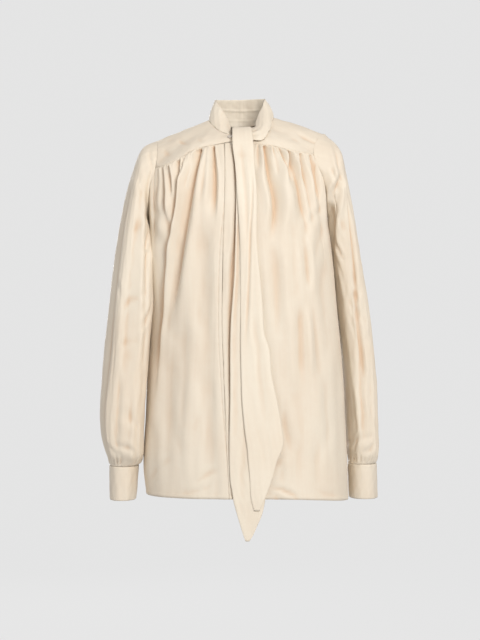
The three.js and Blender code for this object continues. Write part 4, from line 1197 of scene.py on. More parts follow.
def front_grid(side):
    """One front, from its placket seam out along the yoke and down the armhole to the side seam."""
    is_right = side is RIGHT
    column = "seam" if is_right else "underSeam"
    name = f"front_{side.name}"
    armhole_x = armhole_point(side, side.seam_turn)[0]
    start = (PLACKET[column][0] - side.start) / (armhole_x - side.start)
    t = np.linspace(0, 1, FRONT_GRID["seam"] + 1)
    turns = np.linspace(side.seam_turn, 180, FRONT_GRID["armhole"] + 1)[1:]
    tops = np.concatenate([front_seam(side, mix(start, 1, t)), armhole_point(side, turns)])
    is_armhole = np.concatenate([0 * t, 1 + 0 * turns])[:, None]
    hem_x = PLACKET[column][-1]
    hem_angle = float(body_angle(points(hem_x, body_depth(hem_x, HEM_Z), HEM_Z)))

    def relief(grid, top_z):
        x, z = grid[..., 0], grid[..., 2]
        below = top_z - z
        from_placket = np.abs(x - read(PLACKET, z, column))
        height = panel_height(name, x, z, top_z)
        height += gather_height(FINE_GATHERS[name], x, z, top_z) * (1 - is_armhole)
        height *= smooth(0, 22, from_placket) * side_fade(grid)
        if is_right:
            height += LAP * (1 - smooth(4, 30, from_placket)) * smooth(0, 30, below)
            height += 0.25 * pucker(z) * np.exp(-from_placket / 5)
        return height - drawn_in("panel_top", below) - drawn_in("placket", from_placket)

    end_angle = -math.pi + SIDE_GAP if is_right else -SIDE_GAP
    grid = hanging_grid(tops, hem_angle, end_angle, FRONT_GRID["rows"], relief)
    share = np.concatenate([t, 1 + 0 * turns])[:, None]
    seam = read(PLACKET, grid[..., 2], column) + side.outward * share * FRONT_WIDTH
    grid[..., 0] += (seam - grid[..., 0]) * np.clip(1 - share / PLACKET_SHARE, 0, 1)
    grid[..., 1] = np.minimum(grid[..., 1], 0)
    grid = grid + grid_normals(grid, False, is_right) * hem_form(grid)[..., None]
    # The side seam's allowance goes on inside the back.
    inward, backward = SIDE_ALLOWANCE
    return np.concatenate([grid, grid[-1:] + points(-side.outward * inward, backward, 0)])


def back_grid():
    """The back, from the right side seam up the armhole, across under the yoke and down to the left one."""
    t = np.linspace(0, 1, BACK_GRID["seam"] + 1)[1:-1]
    right_turns = np.linspace(180, RIGHT.back_turn, BACK_GRID["armhole"] + 1)
    left_turns = np.linspace(LEFT.back_turn, 180, BACK_GRID["armhole"] + 1)
    right_top, left_top = armhole_point(RIGHT, right_turns), armhole_point(LEFT, left_turns)
    tops = np.concatenate([right_top, back_seam(t), left_top])
    on_seam = np.concatenate([0 * right_turns, 1 + 0 * t, 0 * left_turns])[:, None]
    gathers = seeded_gathers(**BACK_GATHERS)

    def relief(grid, top_z):
        x, z = grid[..., 0], grid[..., 2]
        height = panel_height("back", x, z, top_z) + gather_height(gathers, x, z, top_z) * on_seam
        return height * side_fade(grid) - drawn_in("panel_top", top_z - z)

    grid = hanging_grid(tops, math.pi - SIDE_GAP, SIDE_GAP, BACK_GRID["rows"], relief)
    grid[..., 1] = np.maximum(grid[..., 1], 0)
    return grid + grid_normals(grid, False, True) * hem_form(grid)[..., None]


def neck_point(place):
    """A point of the neckline."""
    return points(*(read(NECKLINE, place, name) for name in ("x", "y", "z")))


def armhole_edge(side, t):
    """The yoke's edge along an armhole, from the front over the shoulder to the back."""
    return armhole_point(side, mix(side.seam_turn, side.back_turn - 360, t))


def yoke_edge(place):
    """The yoke's lower edge, in five equal stretches from the right front's edge to the left one's."""
    fifths = np.atleast_1d(np.asarray(place, float)) * 5
    edge = np.empty(fifths.shape + (3,))
    stretches = (
        (fifths < 1, lambda t: front_seam(RIGHT, t)),
        ((fifths >= 1) & (fifths <= 2), lambda t: armhole_edge(RIGHT, t - 1)),
        ((fifths > 2) & (fifths < 3), lambda t: back_seam(t - 2)),
        ((fifths >= 3) & (fifths <= 4), lambda t: armhole_edge(LEFT, 4 - t)),
        (fifths > 4, lambda t: front_seam(LEFT, 5 - t)),
    )
    for chosen, make in stretches:
        if chosen.any():
            edge[chosen] = make(fifths[chosen])
    return edge


def yoke_grid():
    """The yoke, from the right front's end round the back to the left one's, neckline to lower edge."""
    place = np.linspace(0, 1, YOKE_GRID["stretch"] * 5 + 1)
    t = np.linspace(0, 1, YOKE_GRID["rows"] + 1)[None, :, None]
    neck, edge = neck_point(place), yoke_edge(place)
    ahead, behind = np.minimum(place + 0.01, 1), np.maximum(place - 0.01, 0)
    along = neck_point(ahead) + yoke_edge(ahead) - neck_point(behind) - yoke_edge(behind)
    out = unit(np.cross(along, edge - neck))[:, None, :]
    bulge = read(YOKE_BULGE, place, "out")[:, None, None] * np.sin(np.pi * t)
    lap = (LAP * (1 - smooth(0.02, 0.075, place)))[:, None, None] * np.array([0, -1, 0.4])
    grid = mix(neck[:, None, :], edge[:, None, :], t) + out * bulge + lap
    for _ in range(YOKE_GRID["soften"]):
        beside = (grid[2:] + grid[:-2]) / 2
        grid[1:-1] += 0.5 * np.sin(np.pi * t) ** 0.5 * (beside - grid[1:-1])
    facing = grid_normals(grid, False, True)
    across, down = arc_lengths(grid, 0).mean(1)[:, None], arc_lengths(grid, 1)
    x, y, z = grid[..., 0], grid[..., 1], grid[..., 2]
    height = crease_height(YOKE_CREASES["front"], x, z) * (1 - smooth(-10, 10, y))
    height += crease_height(YOKE_CREASES["back"], x, z) * smooth(10, 30, y)
    height += waves("yoke", "broad", across, down) * np.sin(np.pi * t[..., 0]) ** 0.5
    height += waves("yoke", "fine", across, down) * smooth(0.55, 1, t[..., 0])
    height -= drawn_in("yoke_edge", down[:, -1:] - down) + drawn_in("neckline", down)
    return grid + facing * height[..., None]


def placket_grid(side, from_column, to_column, out):
    """A strip of the placket between two columns of its table, from the yoke's seam to the hem."""
    share = np.linspace(0, 1, PLACKET_GRID["across"] + 1)[:, None]
    top_x = mix(PLACKET[from_column][0], PLACKET[to_column][0], share)
    top_z = read(YOKE_SEAM[side.name], top_x, "z")
    z = mix(top_z, HEM_Z, np.linspace(0, 1, PLACKET_GRID["rows"] + 1)[None, :])
    x = mix(read(PLACKET, z, from_column), read(PLACKET, z, to_column), share)
    grid = points(x, body_depth(x, z) - out, z)
    from_seam = x - read(PLACKET, z, from_column)
    below = top_z - z
    height = 0.3 * pucker(z) * np.exp(-from_seam / 4) + waves("placket", "broad", x, z)
    height = (height - drawn_in("placket", from_seam)) * smooth(0, 10, below)
    height -= drawn_in("placket_top", below)
    sunk = near(x - read(SCARF_TROUGH, z, "x"), 5.5) * smooth(0, 18, below)
    height -= read(SCARF_TROUGH, z, "depth") * sunk
    return grid + grid_normals(grid, False, False) * (height + hem_form(grid))[..., None]


def band_point(place, t):
    """A point of the standing band: t runs from its upper edge down to the neckline."""
    foot = neck_point(place)
    top = points(*(read(BAND_TOP, place, name) for name in ("x", "y", "z")))
    foot = foot + unit(top - foot) * BAND_RISE
    out = unit(points(foot[..., 0], foot[..., 1] - NECK_MIDDLE_Y, 0))
    bulge = read(BAND_TOP, place, "out")[..., None] * np.sin(np.pi * t)
    return mix(top, foot, t) + out * bulge


def collar_grid():
    """The band and the strip that it runs on into, as one length of doubled cloth."""
    t = np.linspace(0, 1, COLLAR_GRID["rows"] + 1)[None, :, None]
    place = np.linspace(BAND_TOP["place"][0], BAND_TOP["place"][-1], COLLAR_GRID["band"])
    band = band_point(place[:, None], t)
    end_top, end_low = band[-1, 0], band[-1, -1]
    rows = {name: np.concatenate([[0.0], values]) for name, values in STRIP.items()}
    for k, axis in enumerate("XYZ"):
        rows["top" + axis][0], rows["low" + axis][0] = end_top[k], end_low[k]
    rows["out"][0] = BAND_TOP["out"][-1]
    run = np.linspace(0, len(STRIP["run"]), COLLAR_GRID["strip"] + 1)[1:]
    low = points(*(read(rows, run, "low" + axis) for axis in "XYZ"))[:, None, :]
    top = points(*(read(rows, run, "top" + axis) for axis in "XYZ"))[:, None, :]
    facing = unit(points(low[..., 0] * 0.6, -60, 34))
    blend = smooth(0, 1.2, run)[:, None, None]
    band_facing = unit(points(end_low[0], end_low[1] - NECK_MIDDLE_Y, 0))
    out = mix(band_facing, facing, blend)
    strip = mix(top, low, t) + out * read(rows, run, "out")[:, None, None] * np.sin(np.pi * t)
    grid = np.concatenate([band, strip])
    # The foot goes on down inside the yoke, and the strip's lower edge is folded under.
    tuck = np.linspace(0, 1, COLLAR_GRID["tuck"] + 1)[None, 1:, None]
    back_share = smooth(0.1, 0.32, place) * smooth(-0.9, -0.68, -place)
    inward = -1.6 * unit(points(band[:, -1, 0], band[:, -1, 1] - NECK_MIDDLE_Y, 0))
    band_tuck = inward + points(0, 0, -mix(2.5, BAND_TUCK, back_share))
    strip_tuck = mix(band_tuck[-1], -2.4 * out[:, 0] + points(0, 0, 1.4), blend[:, 0])
    tucks = tuck * np.concatenate([band_tuck, strip_tuck])[:, None, :]
    grid = np.concatenate([grid, grid[:, -1:] + tucks], 1)
    count = len(place)
    for _ in range(6):
        joint = slice(count - 6, count + 6)
        grid[joint] = (grid[joint] * 2 + grid[count - 7 : count + 5] + grid[count - 5 : count + 7]) / 4
    along = arc_lengths(grid, 0).mean(1)[:, None]
    down = arc_lengths(grid, 1)
    share = np.concatenate([t[..., 0], 1 + 0.1 * tuck[..., 0]], 1)
    row = np.arange(len(grid))[:, None]
    on_band = 1 - smooth(count * 0.92, count * 1.15, row)
    height = sum(rise * near(share - middle, width) for middle, rise, width in COLLAR_PLEATS)
    height = height * smooth(count * 1.12, count * 1.5, row)
    height += waves("collar", "broad", along, down) + waves("collar", "fine", along, down) * on_band
    edge = np.minimum(down, down[:, -1:] - down)
    height += 0.5 * near(edge, 2.2) * on_band * (down < 12)
    at_back = smooth(-5, 20, grid[..., 1])
    for seam_z, depth in COLLAR_SEAMS:
        height -= depth * at_back * near(grid[..., 2] - seam_z, 1.7)
    height -= at_back * drawn_in("collar_middle", grid[..., 0] - 1)
    return grid + grid_normals(grid, False, True) * height[..., None]


def resample(path, count):
    """Points at even lengths along smooth curves through the rows of a path."""
    lengths = arc_lengths(path, 0).mean(1)
    result = np.empty((count + 1,) + path.shape[1:])
    at = np.linspace(0, lengths[-1], count + 1)
    for column in range(path.shape[1]):
        for axis in range(3):
            rows = {"length": lengths, "value": path[:, column, axis]}
            result[:, column, axis] = read(rows, at, "value")
    return result


def tail_grid(name):
    """A tail of the scarf, hung over the front at a distance from the body's ring."""
    tail, edges = TAILS[name], TAIL_EDGES[name]
    share = np.linspace(0, 1, TAIL_GRID["across"] + 1)

    def x_at(z):
        return mix(read(edges, z, "left")[:, None], read(edges, z, "right")[:, None], share[None, :])

    z = np.linspace(tail["top"], edges["z"][-1], TAIL_GRID["path"])
    x = x_at(z)
    path = points(x, body_depth(x, np.maximum(z, HEM_Z)[:, None]) - tail["stand"], z[:, None])
    if tail["turned"]:
        turn_z = TAIL_TURN["z"]
        turn_x = x_at(turn_z) + TAIL_TURN["shift"][:, None]
        path = np.concatenate([points(turn_x, TAIL_TURN["y"][:, None], turn_z[:, None]), path])
    grid = resample(path, TAIL_GRID["rows"]).transpose(1, 0, 2)
    down = arc_lengths(grid, 1)
    height = np.zeros(grid.shape[:2])
    for across, drift, depth, width, start, end in zip(*TAIL_FOLDS[name].values()):
        line = across + drift * smooth(start, end, down)
        reach = smooth(start, start + TAIL_FOLD_RISE, down) * (1 - smooth(end - TAIL_FOLD_FALL, end, down))
        height += depth * reach * trough((share[:, None] - line) / width)
    width = np.linalg.norm(grid[-1] - grid[0], axis=-1)[None, :]
    height += waves(name, "broad", share[:, None] * width, down)
    height += waves(name, "fine", share[:, None] * width, down)
    height -= drawn_in("tail_edge", np.minimum(share, 1 - share)[:, None] * width)
    return grid + grid_normals(grid, False, False) * height[..., None]


def turn_from(turn, line):
    """How far round a sleeve a place lies from a line, between -180 and 180 degrees."""
    return (turn - line + 540) % 360 - 180


def sleeve_gathers(rng, kind, turn, away):
    """The height of the gathers at one end of a sleeve, where away is the length from that end."""
    given = SLEEVE_GATHERS[kind]
    height = np.zeros(away.shape)
    for centre in np.arange(*given["lines"]):
        line = centre + rng.uniform(-given["shift"], given["shift"])
        if given["lean"]:
            line = line + rng.uniform(-given["lean"], given["lean"]) * away
        off = turn_from(turn, line) / rng.uniform(*given["width"])
        length = rng.uniform(*given["length"])
        depth = rng.uniform(*given["depth"]) * smooth(0, given["rise"], away)
        height += depth * (1 - smooth(0.3 * length, length, away)) * trough(off)
    return height


def sleeve_rings(side, turn):
    """The points of the armhole and of a sleeve's rings: turn 0 is the outer side, 90 the front."""
    c, s = np.cos(np.radians(turn)), np.sin(np.radians(turn))
    shapes = [armhole_point(side, turn)]
    for ring_at, out_x, out_z, in_x, in_z, depth, mid, lean in zip(*SLEEVE[side.name].values()):
        flat = float(smooth(0.5, 4.5, ring_at) * smooth(-13, -10, -ring_at))
        squareness = SLEEVE_SQUARENESS + FLAT_FRONT * flat
        along, across = signed_power(c, 2 / squareness), signed_power(s, 2 / squareness)
        out_x += side.outward * OUTER_SPREAD * abs(lean) * flat
        in_x -= side.outward * INNER_SPREAD * abs(lean) * flat
        lean *= mix(1, FRONT_LEAN, flat)
        x = (out_x + in_x) / 2 + along * (out_x - in_x) / 2 - side.outward * lean * across
        z = (out_z + in_z) / 2 + along * (out_z - in_z) / 2
        shapes.append(points(x, mid - across * depth, z))
    return np.array(shapes)


def sleeve_grid(side):
    """A sleeve from the armhole to the cuff's seam."""
    turn = np.linspace(0, 360, SLEEVE_GRID["round"], endpoint=False)
    shapes = sleeve_rings(side, turn)
    step = np.linspace(0, LAST_RING, SLEEVE_GRID["rows"] + 1)
    grid = np.empty((len(turn), len(step), 3))
    for i in range(len(turn)):
        for axis in range(3):
            rows = {"ring": np.arange(LAST_RING + 1.0), "value": shapes[:, i, axis]}
            grid[i, :, axis] = read(rows, step, "value")
    normals = grid_normals(grid, True, side is LEFT)
    ring_at, turn_at = step[None, :], turn[:, None]
    x, z = grid[..., 0], grid[..., 2]
    height = np.zeros(grid.shape[:2])
    for start, end, first, last, depth, width in zip(*SLEEVE_FOLDS[side.name].values()):
        line = mix(start, end, np.clip((ring_at - first) / (last - first), 0, 1))
        reach = smooth(first, first + FOLD_FADE, ring_at) * smooth(-last, -last + FOLD_FADE, -ring_at)
        height += depth * reach * trough(turn_from(turn_at, line) / width)
    creases = {**SLEEVE_CREASES[side.name]}
    creases["x0"], creases["x1"] = creases["x0"] * DEGREE_LENGTH, creases["x1"] * DEGREE_LENGTH
    for shift in (-360, 0):
        height += crease_height(creases, (turn_at + shift) * DEGREE_LENGTH, z)
    wave = np.radians(turn_at)
    in_front = smooth(0.2, 0.55, np.sin(wave))
    height += fold_height(SLEEVE_FRONT_FOLDS[side.name], x, z) * in_front
    height += crease_height(ARMHOLE_CREASES[side.name], x, z) * in_front
    down = arc_lengths(grid, 1)
    from_cuff = down[:, -1:] - down
    rng = np.random.default_rng(SLEEVE_SEEDS[side.name])
    height += sleeve_gathers(rng, "cuff", turn_at, from_cuff)
    height += sleeve_gathers(rng, "cap", turn_at, down)
    piece = f"sleeve_{side.name}"
    height += waves(piece, "broad", 46 * np.cos(wave) + 30 * np.sin(wave), z)
    height += waves(piece, "fine", 46 * np.cos(wave) - 38 * np.sin(wave), z)
    height *= smooth(0, 10, from_cuff) * smooth(0, 8, down)
    at_inside = smooth(-0.2, 0.5, -np.cos(wave))
    height -= at_inside * drawn_in("armhole", down) + drawn_in("sleeve_end", from_cuff)
    grid = grid + normals * height[..., None]
    # The seam allowance goes on inside the armhole.
    ahead = unit(grid[:, :1] - grid[:, 1:2])
    allowance = [grid[:, :1] + ahead * run - normals[:, :1] * drop for run, drop in SLEEVE_ALLOWANCE]
    return np.concatenate([*allowance, grid], 1)


def cuff_point(side, turn, down, out):
    """A point of a cuff, moved out by a length: down is 0 at its seam and 1 at its lower edge."""
    cuff = CUFFS[side.name]
    c, s = np.cos(np.radians(turn)), np.sin(np.radians(turn))
    out_x, in_x = mix(cuff["topOut"], cuff["bottomOut"], down), mix(cuff["topIn"], cuff["bottomIn"], down)
    half = (out_x - in_x) / 2 + side.outward * out
    x = (out_x + in_x) / 2 + signed_power(c, 2 / SLEEVE_SQUARENESS) * half
    y = cuff["mid"] - signed_power(s, 2 / SLEEVE_SQUARENESS) * (cuff["depth"] + out)
    return points(x, y, mix(CUFF_TOP, cuff["bottom"], down))


def cuff_lift(turn):
    """How far the cuff's last end is lifted, where it laps over its first end."""
    start, end = CUFF_LAP_RISE
    return CUFF_LAP_LIFT * smooth(CUFF_LAP_START + start, CUFF_LAP_START + end, turn)


def cuff_grid(side):
    """A cuff: its first end lies under its last end, which laps over it."""
    last_turn = CUFF_LAP_START + 360 + CUFF_LAP_TURN
    turn = np.linspace(CUFF_LAP_START, last_turn, CUFF_GRID["round"] + 1)[:, None]
    down = np.linspace(0, 1, CUFF_GRID["rows"] + 1)[None, :]
    grid = cuff_point(side, turn, down, cuff_lift(turn))
    length = CUFF_TOP - CUFFS[side.name]["bottom"]
    from_top = down * length
    from_edge = np.minimum(from_top, length - from_top)
    height = waves(f"cuff_{side.name}", "broad", turn * 0.8, from_top)
    height -= drawn_in("cuff_stitches", from_edge - CUFF_STITCH)
    height -= drawn_in("cuff_top", from_top) + drawn_in("cuff_edge", from_edge)
    return grid + grid_normals(grid, False, side is LEFT) * height[..., None]


def new_socket(group, name, kind, direction, value=None):
    """Adds a socket to a node group."""
    socket = group.interface.new_socket(name=name, in_out=direction, socket_type=kind)
    if value is not None:
        socket.default_value = value


def crepe_group():
    """The look of satin-backed crepe: its fine grain, faint slubs, soft changes of tone, and shade painted
    into the hollows of folds.
    """
    group = bpy.data.node_groups.new("crepe", "ShaderNodeTree")
    new_socket(group, "Colour", "NodeSocketColor", "INPUT", (0.8, 0.7, 0.6, 1))
    new_socket(group, "Painted Shade Colour", "NodeSocketColor", "INPUT", (0.7, 0.55, 0.4, 1))
    new_socket(group, "Colour", "NodeSocketColor", "OUTPUT")
    new_socket(group, "Roughness", "NodeSocketFloat", "OUTPUT")
    new_socket(group, "Height", "NodeSocketFloat", "OUTPUT")
    nodes, links = group.nodes, group.links
    given, result = nodes.new("NodeGroupInput"), nodes.new("NodeGroupOutput")
    place = nodes.new("ShaderNodeTexCoord")
    cloth = nodes.new("ShaderNodeUVMap")
    cloth.uv_map = "cloth"

    def noise(vector, scale, detail, stretch=None):
        node = nodes.new("ShaderNodeTexNoise")
        node.inputs["Scale"].default_value = scale
        node.inputs["Detail"].default_value = detail
        if stretch:
            mapping = nodes.new("ShaderNodeMapping")
            mapping.inputs["Scale"].default_value = stretch
            links.new(vector, mapping.inputs["Vector"])
            vector = mapping.outputs["Vector"]
        links.new(vector, node.inputs["Vector"])
        return node.outputs["Fac"]

    def math_node(kind, first, second):
        node = nodes.new("ShaderNodeMath")
        node.operation = kind
        for socket, value in zip(node.inputs, (first, second)):
            if isinstance(value, (int, float)):
                socket.default_value = value
            else:
                links.new(value, socket)
        return node.outputs[0]

    tone = noise(place.outputs["Object"], 7.0, 2.0)
    slub = noise(cloth.outputs["UV"], 160.0, 2.0, (1.0, 0.06, 1.0))
    crimp = noise(cloth.outputs["UV"], 1500.0, 1.0, (1.0, 0.55, 1.0))
    mottle = noise(place.outputs["Object"], 90.0, 3.0)
    painted_shade = nodes.new("ShaderNodeAttribute")
    painted_shade.attribute_name = "painted_shade"
    # Painted shade: the colour is mixed towards the painted shade colour in the hollows of folds, together
    # with random changes of tone.
    painted_shade_and_tone = math_node("MULTIPLY", painted_shade.outputs["Fac"], PAINTED_SHADE_SHARE)
    for source, strength in ((tone, 0.5), (slub, 0.16), (mottle, 0.12)):
        change = math_node("MULTIPLY", math_node("SUBTRACT", source, 0.5), strength)
        painted_shade_and_tone = math_node("ADD", painted_shade_and_tone, change)
    amount = nodes.new("ShaderNodeClamp")
    links.new(math_node("ADD", painted_shade_and_tone, 0.06), amount.inputs["Value"])
    blend = nodes.new("ShaderNodeMix")
    blend.data_type = "RGBA"
    links.new(amount.outputs[0], blend.inputs["Factor"])
    links.new(given.outputs["Colour"], blend.inputs["A"])
    links.new(given.outputs["Painted Shade Colour"], blend.inputs["B"])
    links.new(blend.outputs["Result"], result.inputs["Colour"])
    rough = math_node("ADD", math_node("MULTIPLY", mottle, 0.16), 0.44)
    links.new(math_node("ADD", rough, math_node("MULTIPLY", crimp, 0.08)), result.inputs["Roughness"])
    bumps = math_node("ADD", math_node("MULTIPLY", crimp, 0.00006), math_node("MULTIPLY", slub, 0.00005))
    bumps = math_node("ADD", bumps, math_node("MULTIPLY", mottle, 0.0002))
    links.new(bumps, result.inputs["Height"])
    return group


def cloth_look(name, is_scarf=False):
    """Crepe with its sheen in the blouse's or the scarf's colour and shade painted into its folds, made once
    for each name.
    """
    if name in bpy.data.materials:
        return bpy.data.materials[name]
    cloth = bpy.context.scene.blouse_cloth
    material = bpy.data.materials.new(name)
    material.use_nodes = True
    nodes, links = material.node_tree.nodes, material.node_tree.links
    surface = nodes["Principled BSDF"]
    crepe = nodes.new("ShaderNodeGroup")
    crepe.node_tree = bpy.data.node_groups.get("crepe") or crepe_group()
    # The scarf's colour is lighter partly for its doubled cloth and partly as painted light.
    crepe.inputs["Colour"].default_value = (*(cloth.scarf_doubled_and_lit_colour if is_scarf else cloth.colour), 1)
    # The colour painted into the hollows of folds as shade.
    crepe.inputs["Painted Shade Colour"].default_value = (*cloth.painted_shade_colour, 1)
    bump = nodes.new("ShaderNodeBump")
    bump.inputs["Distance"].default_value = 1.0
    bump.inputs["Strength"].default_value = 0.7
    links.new(crepe.outputs["Height"], bump.inputs["Height"])
    links.new(crepe.outputs["Colour"], surface.inputs["Base Color"])
    links.new(crepe.outputs["Roughness"], surface.inputs["Roughness"])
    links.new(bump.outputs["Normal"], surface.inputs["Normal"])
    surface.inputs["Specular IOR Level"].default_value = 0.38
    surface.inputs["Sheen Weight"].default_value = cloth.sheen
    surface.inputs["Sheen Roughness"].default_value = 0.4
    surface.inputs["Sheen Tint"].default_value = (1.0, 0.93, 0.84, 1)
    return material


def button_material(colour):
    """Polished shell: cloudy bands of warm and cool white under a clear gloss."""
    material = bpy.data.materials.new("shell_button")
    material.use_nodes = True
    nodes, links = material.node_tree.nodes, material.node_tree.links
    surface = nodes["Principled BSDF"]
    place = nodes.new("ShaderNodeTexCoord")
    cloud = nodes.new("ShaderNodeTexNoise")
    cloud.inputs["Scale"].default_value = 420.0
    cloud.inputs["Distortion"].default_value = 1.6
    ramp = nodes.new("ShaderNodeValToRGB")
    red, green, blue = colour
    ramp.color_ramp.elements[0].color = (red * 0.62, green * 0.6, blue * 0.62, 1)
    ramp.color_ramp.elements[1].color = (*colour, 1)
    links.new(place.outputs["Object"], cloud.inputs["Vector"])
    links.new(cloud.outputs["Fac"], ramp.inputs["Fac"])
    links.new(ramp.outputs["Color"], surface.inputs["Base Color"])
    surface.inputs["Roughness"].default_value = 0.18
    surface.inputs["Coat Weight"].default_value = 0.6
    surface.inputs["Coat Roughness"].default_value = 0.08
    return material


def length_property(name, description, metres):
    """A property that holds a length in metres."""
    return FloatProperty(name=name, description=description, default=metres, unit="LENGTH")


def colour_property(name, description, colour):
    """A property that holds a colour."""
    return FloatVectorProperty(name=name, description=description, default=colour, subtype="COLOR")


def strength_property(name, description, strength):
    """A property that holds a light's strength or a share."""
    return FloatProperty(name=name, description=description, default=strength)


class BlouseCloth(bpy.types.PropertyGroup):
    """Sizes and colours of the cloth."""

    thickness: length_property("Thickness", "Thickness of one layer", 0.0007)
    doubled: length_property("Doubled thickness", "Thickness of the doubled pieces", 0.0013)
    colour: colour_property("Colour", "Colour of the blouse", (0.805, 0.726, 0.61))
    # Lighter than the blouse partly for its doubled cloth and partly as painted light.
    scarf_doubled_and_lit_colour: colour_property("Scarf colour", "Colour of the collar and scarf", (0.845, 0.77, 0.65))
    # Painted shade: the colour that the hollows of folds are darkened towards.
    painted_shade_colour: colour_property("Painted shade colour", "Colour deep in the folds", (0.66, 0.465, 0.31))
    sheen: strength_property("Sheen", "How strongly the cloth's nap shines", 0.25)


class BlouseSewing(bpy.types.PropertyGroup):
    """Sizes of the stitches and the colour of the buttons."""

    stitch_length: length_property("Stitch", "Length of one stitch", 0.0021)
    stitch_gap: length_property("Gap", "Space between two stitches", 0.0006)
    thread_radius: length_property("Thread", "Half the thread's thickness", 0.0002)
    button_colour: colour_property("Button colour", "Colour of the shell buttons", (0.72, 0.66, 0.58))


class BlouseStudio(bpy.types.PropertyGroup):
    """The studio: its light, floor and camera."""

    floor_drop: length_property("Floor", "How far the floor is below the neck", 1.5)
    bowl_radius: length_property("Bowl", "Radius of the backdrop", 7.0)
    backdrop: colour_property("Backdrop", "Colour of the floor and backdrop", (0.768, 0.768, 0.768))
    air_strength: strength_property("Air", "Strength of the light from all round", 0.53)
    key_power: strength_property("Key light", "Power of the light at the front left", 86.0)
    fill_power: strength_property("Fill light", "Power of the light at the front right", 12.0)
    back_power: strength_property("Back light", "Power of the light behind", 60.0)
    camera_distance: length_property("Distance", "Camera to the neck", 3.0)
    camera_height: length_property("Height", "Camera's height from the neck", -0.386)
    view_height: length_property("View", "Height of the view at the neck", 1.2288)


def row_line(grid, leftward, from_edge, from_top=False):
    """A line along a sheet at a distance from its lower or upper edge, and the cloth's facing there."""
    down = arc_lengths(grid, 1)
    facing = grid_normals(grid, False, leftward)
    line, out = np.empty((len(grid), 3)), np.empty((len(grid), 3))
    for i in range(len(grid)):
        place = from_edge if from_top else down[i, -1] - from_edge
        for k in range(3):
            line[i, k] = np.interp(place, down[i], grid[i, :, k])
            out[i, k] = np.interp(place, down[i], facing[i, :, k])
    return line, unit(out)


class BLOUSE_OT_fronts(bpy.types.Operator):
    """Make the two gathered fronts and the stitches of their hem"""

    bl_idname = "blouse.fronts"
    bl_label = "Fronts"

    def execute(self, context):
        cloth, sewing = context.scene.blouse_cloth, context.scene.blouse_sewing
        look = cloth_look("ivory_crepe")
        lines = []
        for side in (RIGHT, LEFT):
            grid = front_grid(side)
            leftward = side is RIGHT
            obj = make_cloth(f"cloth_front_{side.name}", grid, cloth.thickness, look, leftward=leftward)
            declare_cloth(obj, grid, [f"front_{side.name}"])
            lines.append(row_line(grid, leftward, HEM_TURN_UP))
        make_stitches("stitches_front_hem", lines, sewing)
        return {"FINISHED"}


class BLOUSE_OT_back(bpy.types.Operator):
    """Make the gathered back and the stitches of its hem"""

    bl_idname = "blouse.back"
    bl_label = "Back"

    def execute(self, context):
        cloth, sewing = context.scene.blouse_cloth, context.scene.blouse_sewing
        grid = back_grid()
        obj = make_cloth("cloth_back", grid, cloth.thickness, cloth_look("ivory_crepe"), leftward=True)
        declare_cloth(obj, grid, ["back"])
        make_stitches("stitches_back_hem", [row_line(grid, True, HEM_TURN_UP)], sewing)
        return {"FINISHED"}


class BLOUSE_OT_yoke(bpy.types.Operator):
    """Make the yoke over the shoulders and the stitches along its seams"""

    bl_idname = "blouse.yoke"
    bl_label = "Yoke"

    def execute(self, context):
        cloth, sewing = context.scene.blouse_cloth, context.scene.blouse_sewing
        grid = yoke_grid()
        obj = make_cloth("cloth_yoke", grid, cloth.doubled, cloth_look("ivory_crepe"), leftward=True)
        declare_cloth(obj, grid, ["yoke"])
        line, out = row_line(grid, True, YOKE_STITCH)
        count = YOKE_GRID["stretch"]
        stretches = [slice(k * count, (k + 1) * count + 1) for k in (0, 2, 4)]
        lines = [(line[stretch], out[stretch]) for stretch in stretches]
        make_stitches("stitches_yoke", lines, sewing)
        return {"FINISHED"}


class BLOUSE_OT_plackets(bpy.types.Operator):
    """Make the placket and the strip under it"""

    bl_idname = "blouse.plackets"
    bl_label = "Plackets"

    def execute(self, context):
        cloth, sewing = context.scene.blouse_cloth, context.scene.blouse_sewing
        strips = ((RIGHT, "seam", "edge", LAP), (LEFT, "underEdge", "underSeam", 0.0))
        for side, start, end, out in strips:
            grid = placket_grid(side, start, end, out)
            obj = make_cloth(f"cloth_placket_{side.name}", grid, cloth.doubled, cloth_look("ivory_crepe"))
            declare_cloth(obj, grid, [f"placket_{side.name}"])
            if side is RIGHT:
                seam_line = grid[1, 4:], grid_normals(grid, False, False)[1, 4:]
        make_stitches("stitches_placket", [seam_line], sewing)
        return {"FINISHED"}


class BLOUSE_OT_collar(bpy.types.Operator):
    """Make the band collar and the strip that it runs on into"""

    bl_idname = "blouse.collar"
    bl_label = "Collar"

    def execute(self, context):
        cloth = context.scene.blouse_cloth
        grid = collar_grid()
        look = cloth_look("scarf_crepe", True)
        obj = make_cloth("cloth_collar", grid, cloth.doubled, look, leftward=True)
        declare_cloth(obj, grid, ["collar_band", "tie_strip"])
        return {"FINISHED"}


class BLOUSE_OT_tails(bpy.types.Operator):
    """Make the scarf's two tails"""

    bl_idname = "blouse.tails"
    bl_label = "Scarf tails"

    def execute(self, context):
        cloth = context.scene.blouse_cloth
        for name in TAILS:
            grid = tail_grid(name)
            obj = make_cloth(f"cloth_{name}", grid, cloth.doubled, cloth_look("scarf_crepe", True))
            declare_cloth(obj, grid, [name])
        return {"FINISHED"}


class BLOUSE_OT_sleeves(bpy.types.Operator):
    """Make the two sleeves"""

    bl_idname = "blouse.sleeves"
    bl_label = "Sleeves"

    def execute(self, context):
        cloth = context.scene.blouse_cloth
        for side in (RIGHT, LEFT):
            grid = sleeve_grid(side)
            name, look = f"cloth_sleeve_{side.name}", cloth_look("ivory_crepe")
            obj = make_cloth(name, grid, cloth.thickness, look, loop=True, leftward=side is LEFT)
            declare_cloth(obj, grid, [f"sleeve_{side.name}"], loop=True)
        return {"FINISHED"}


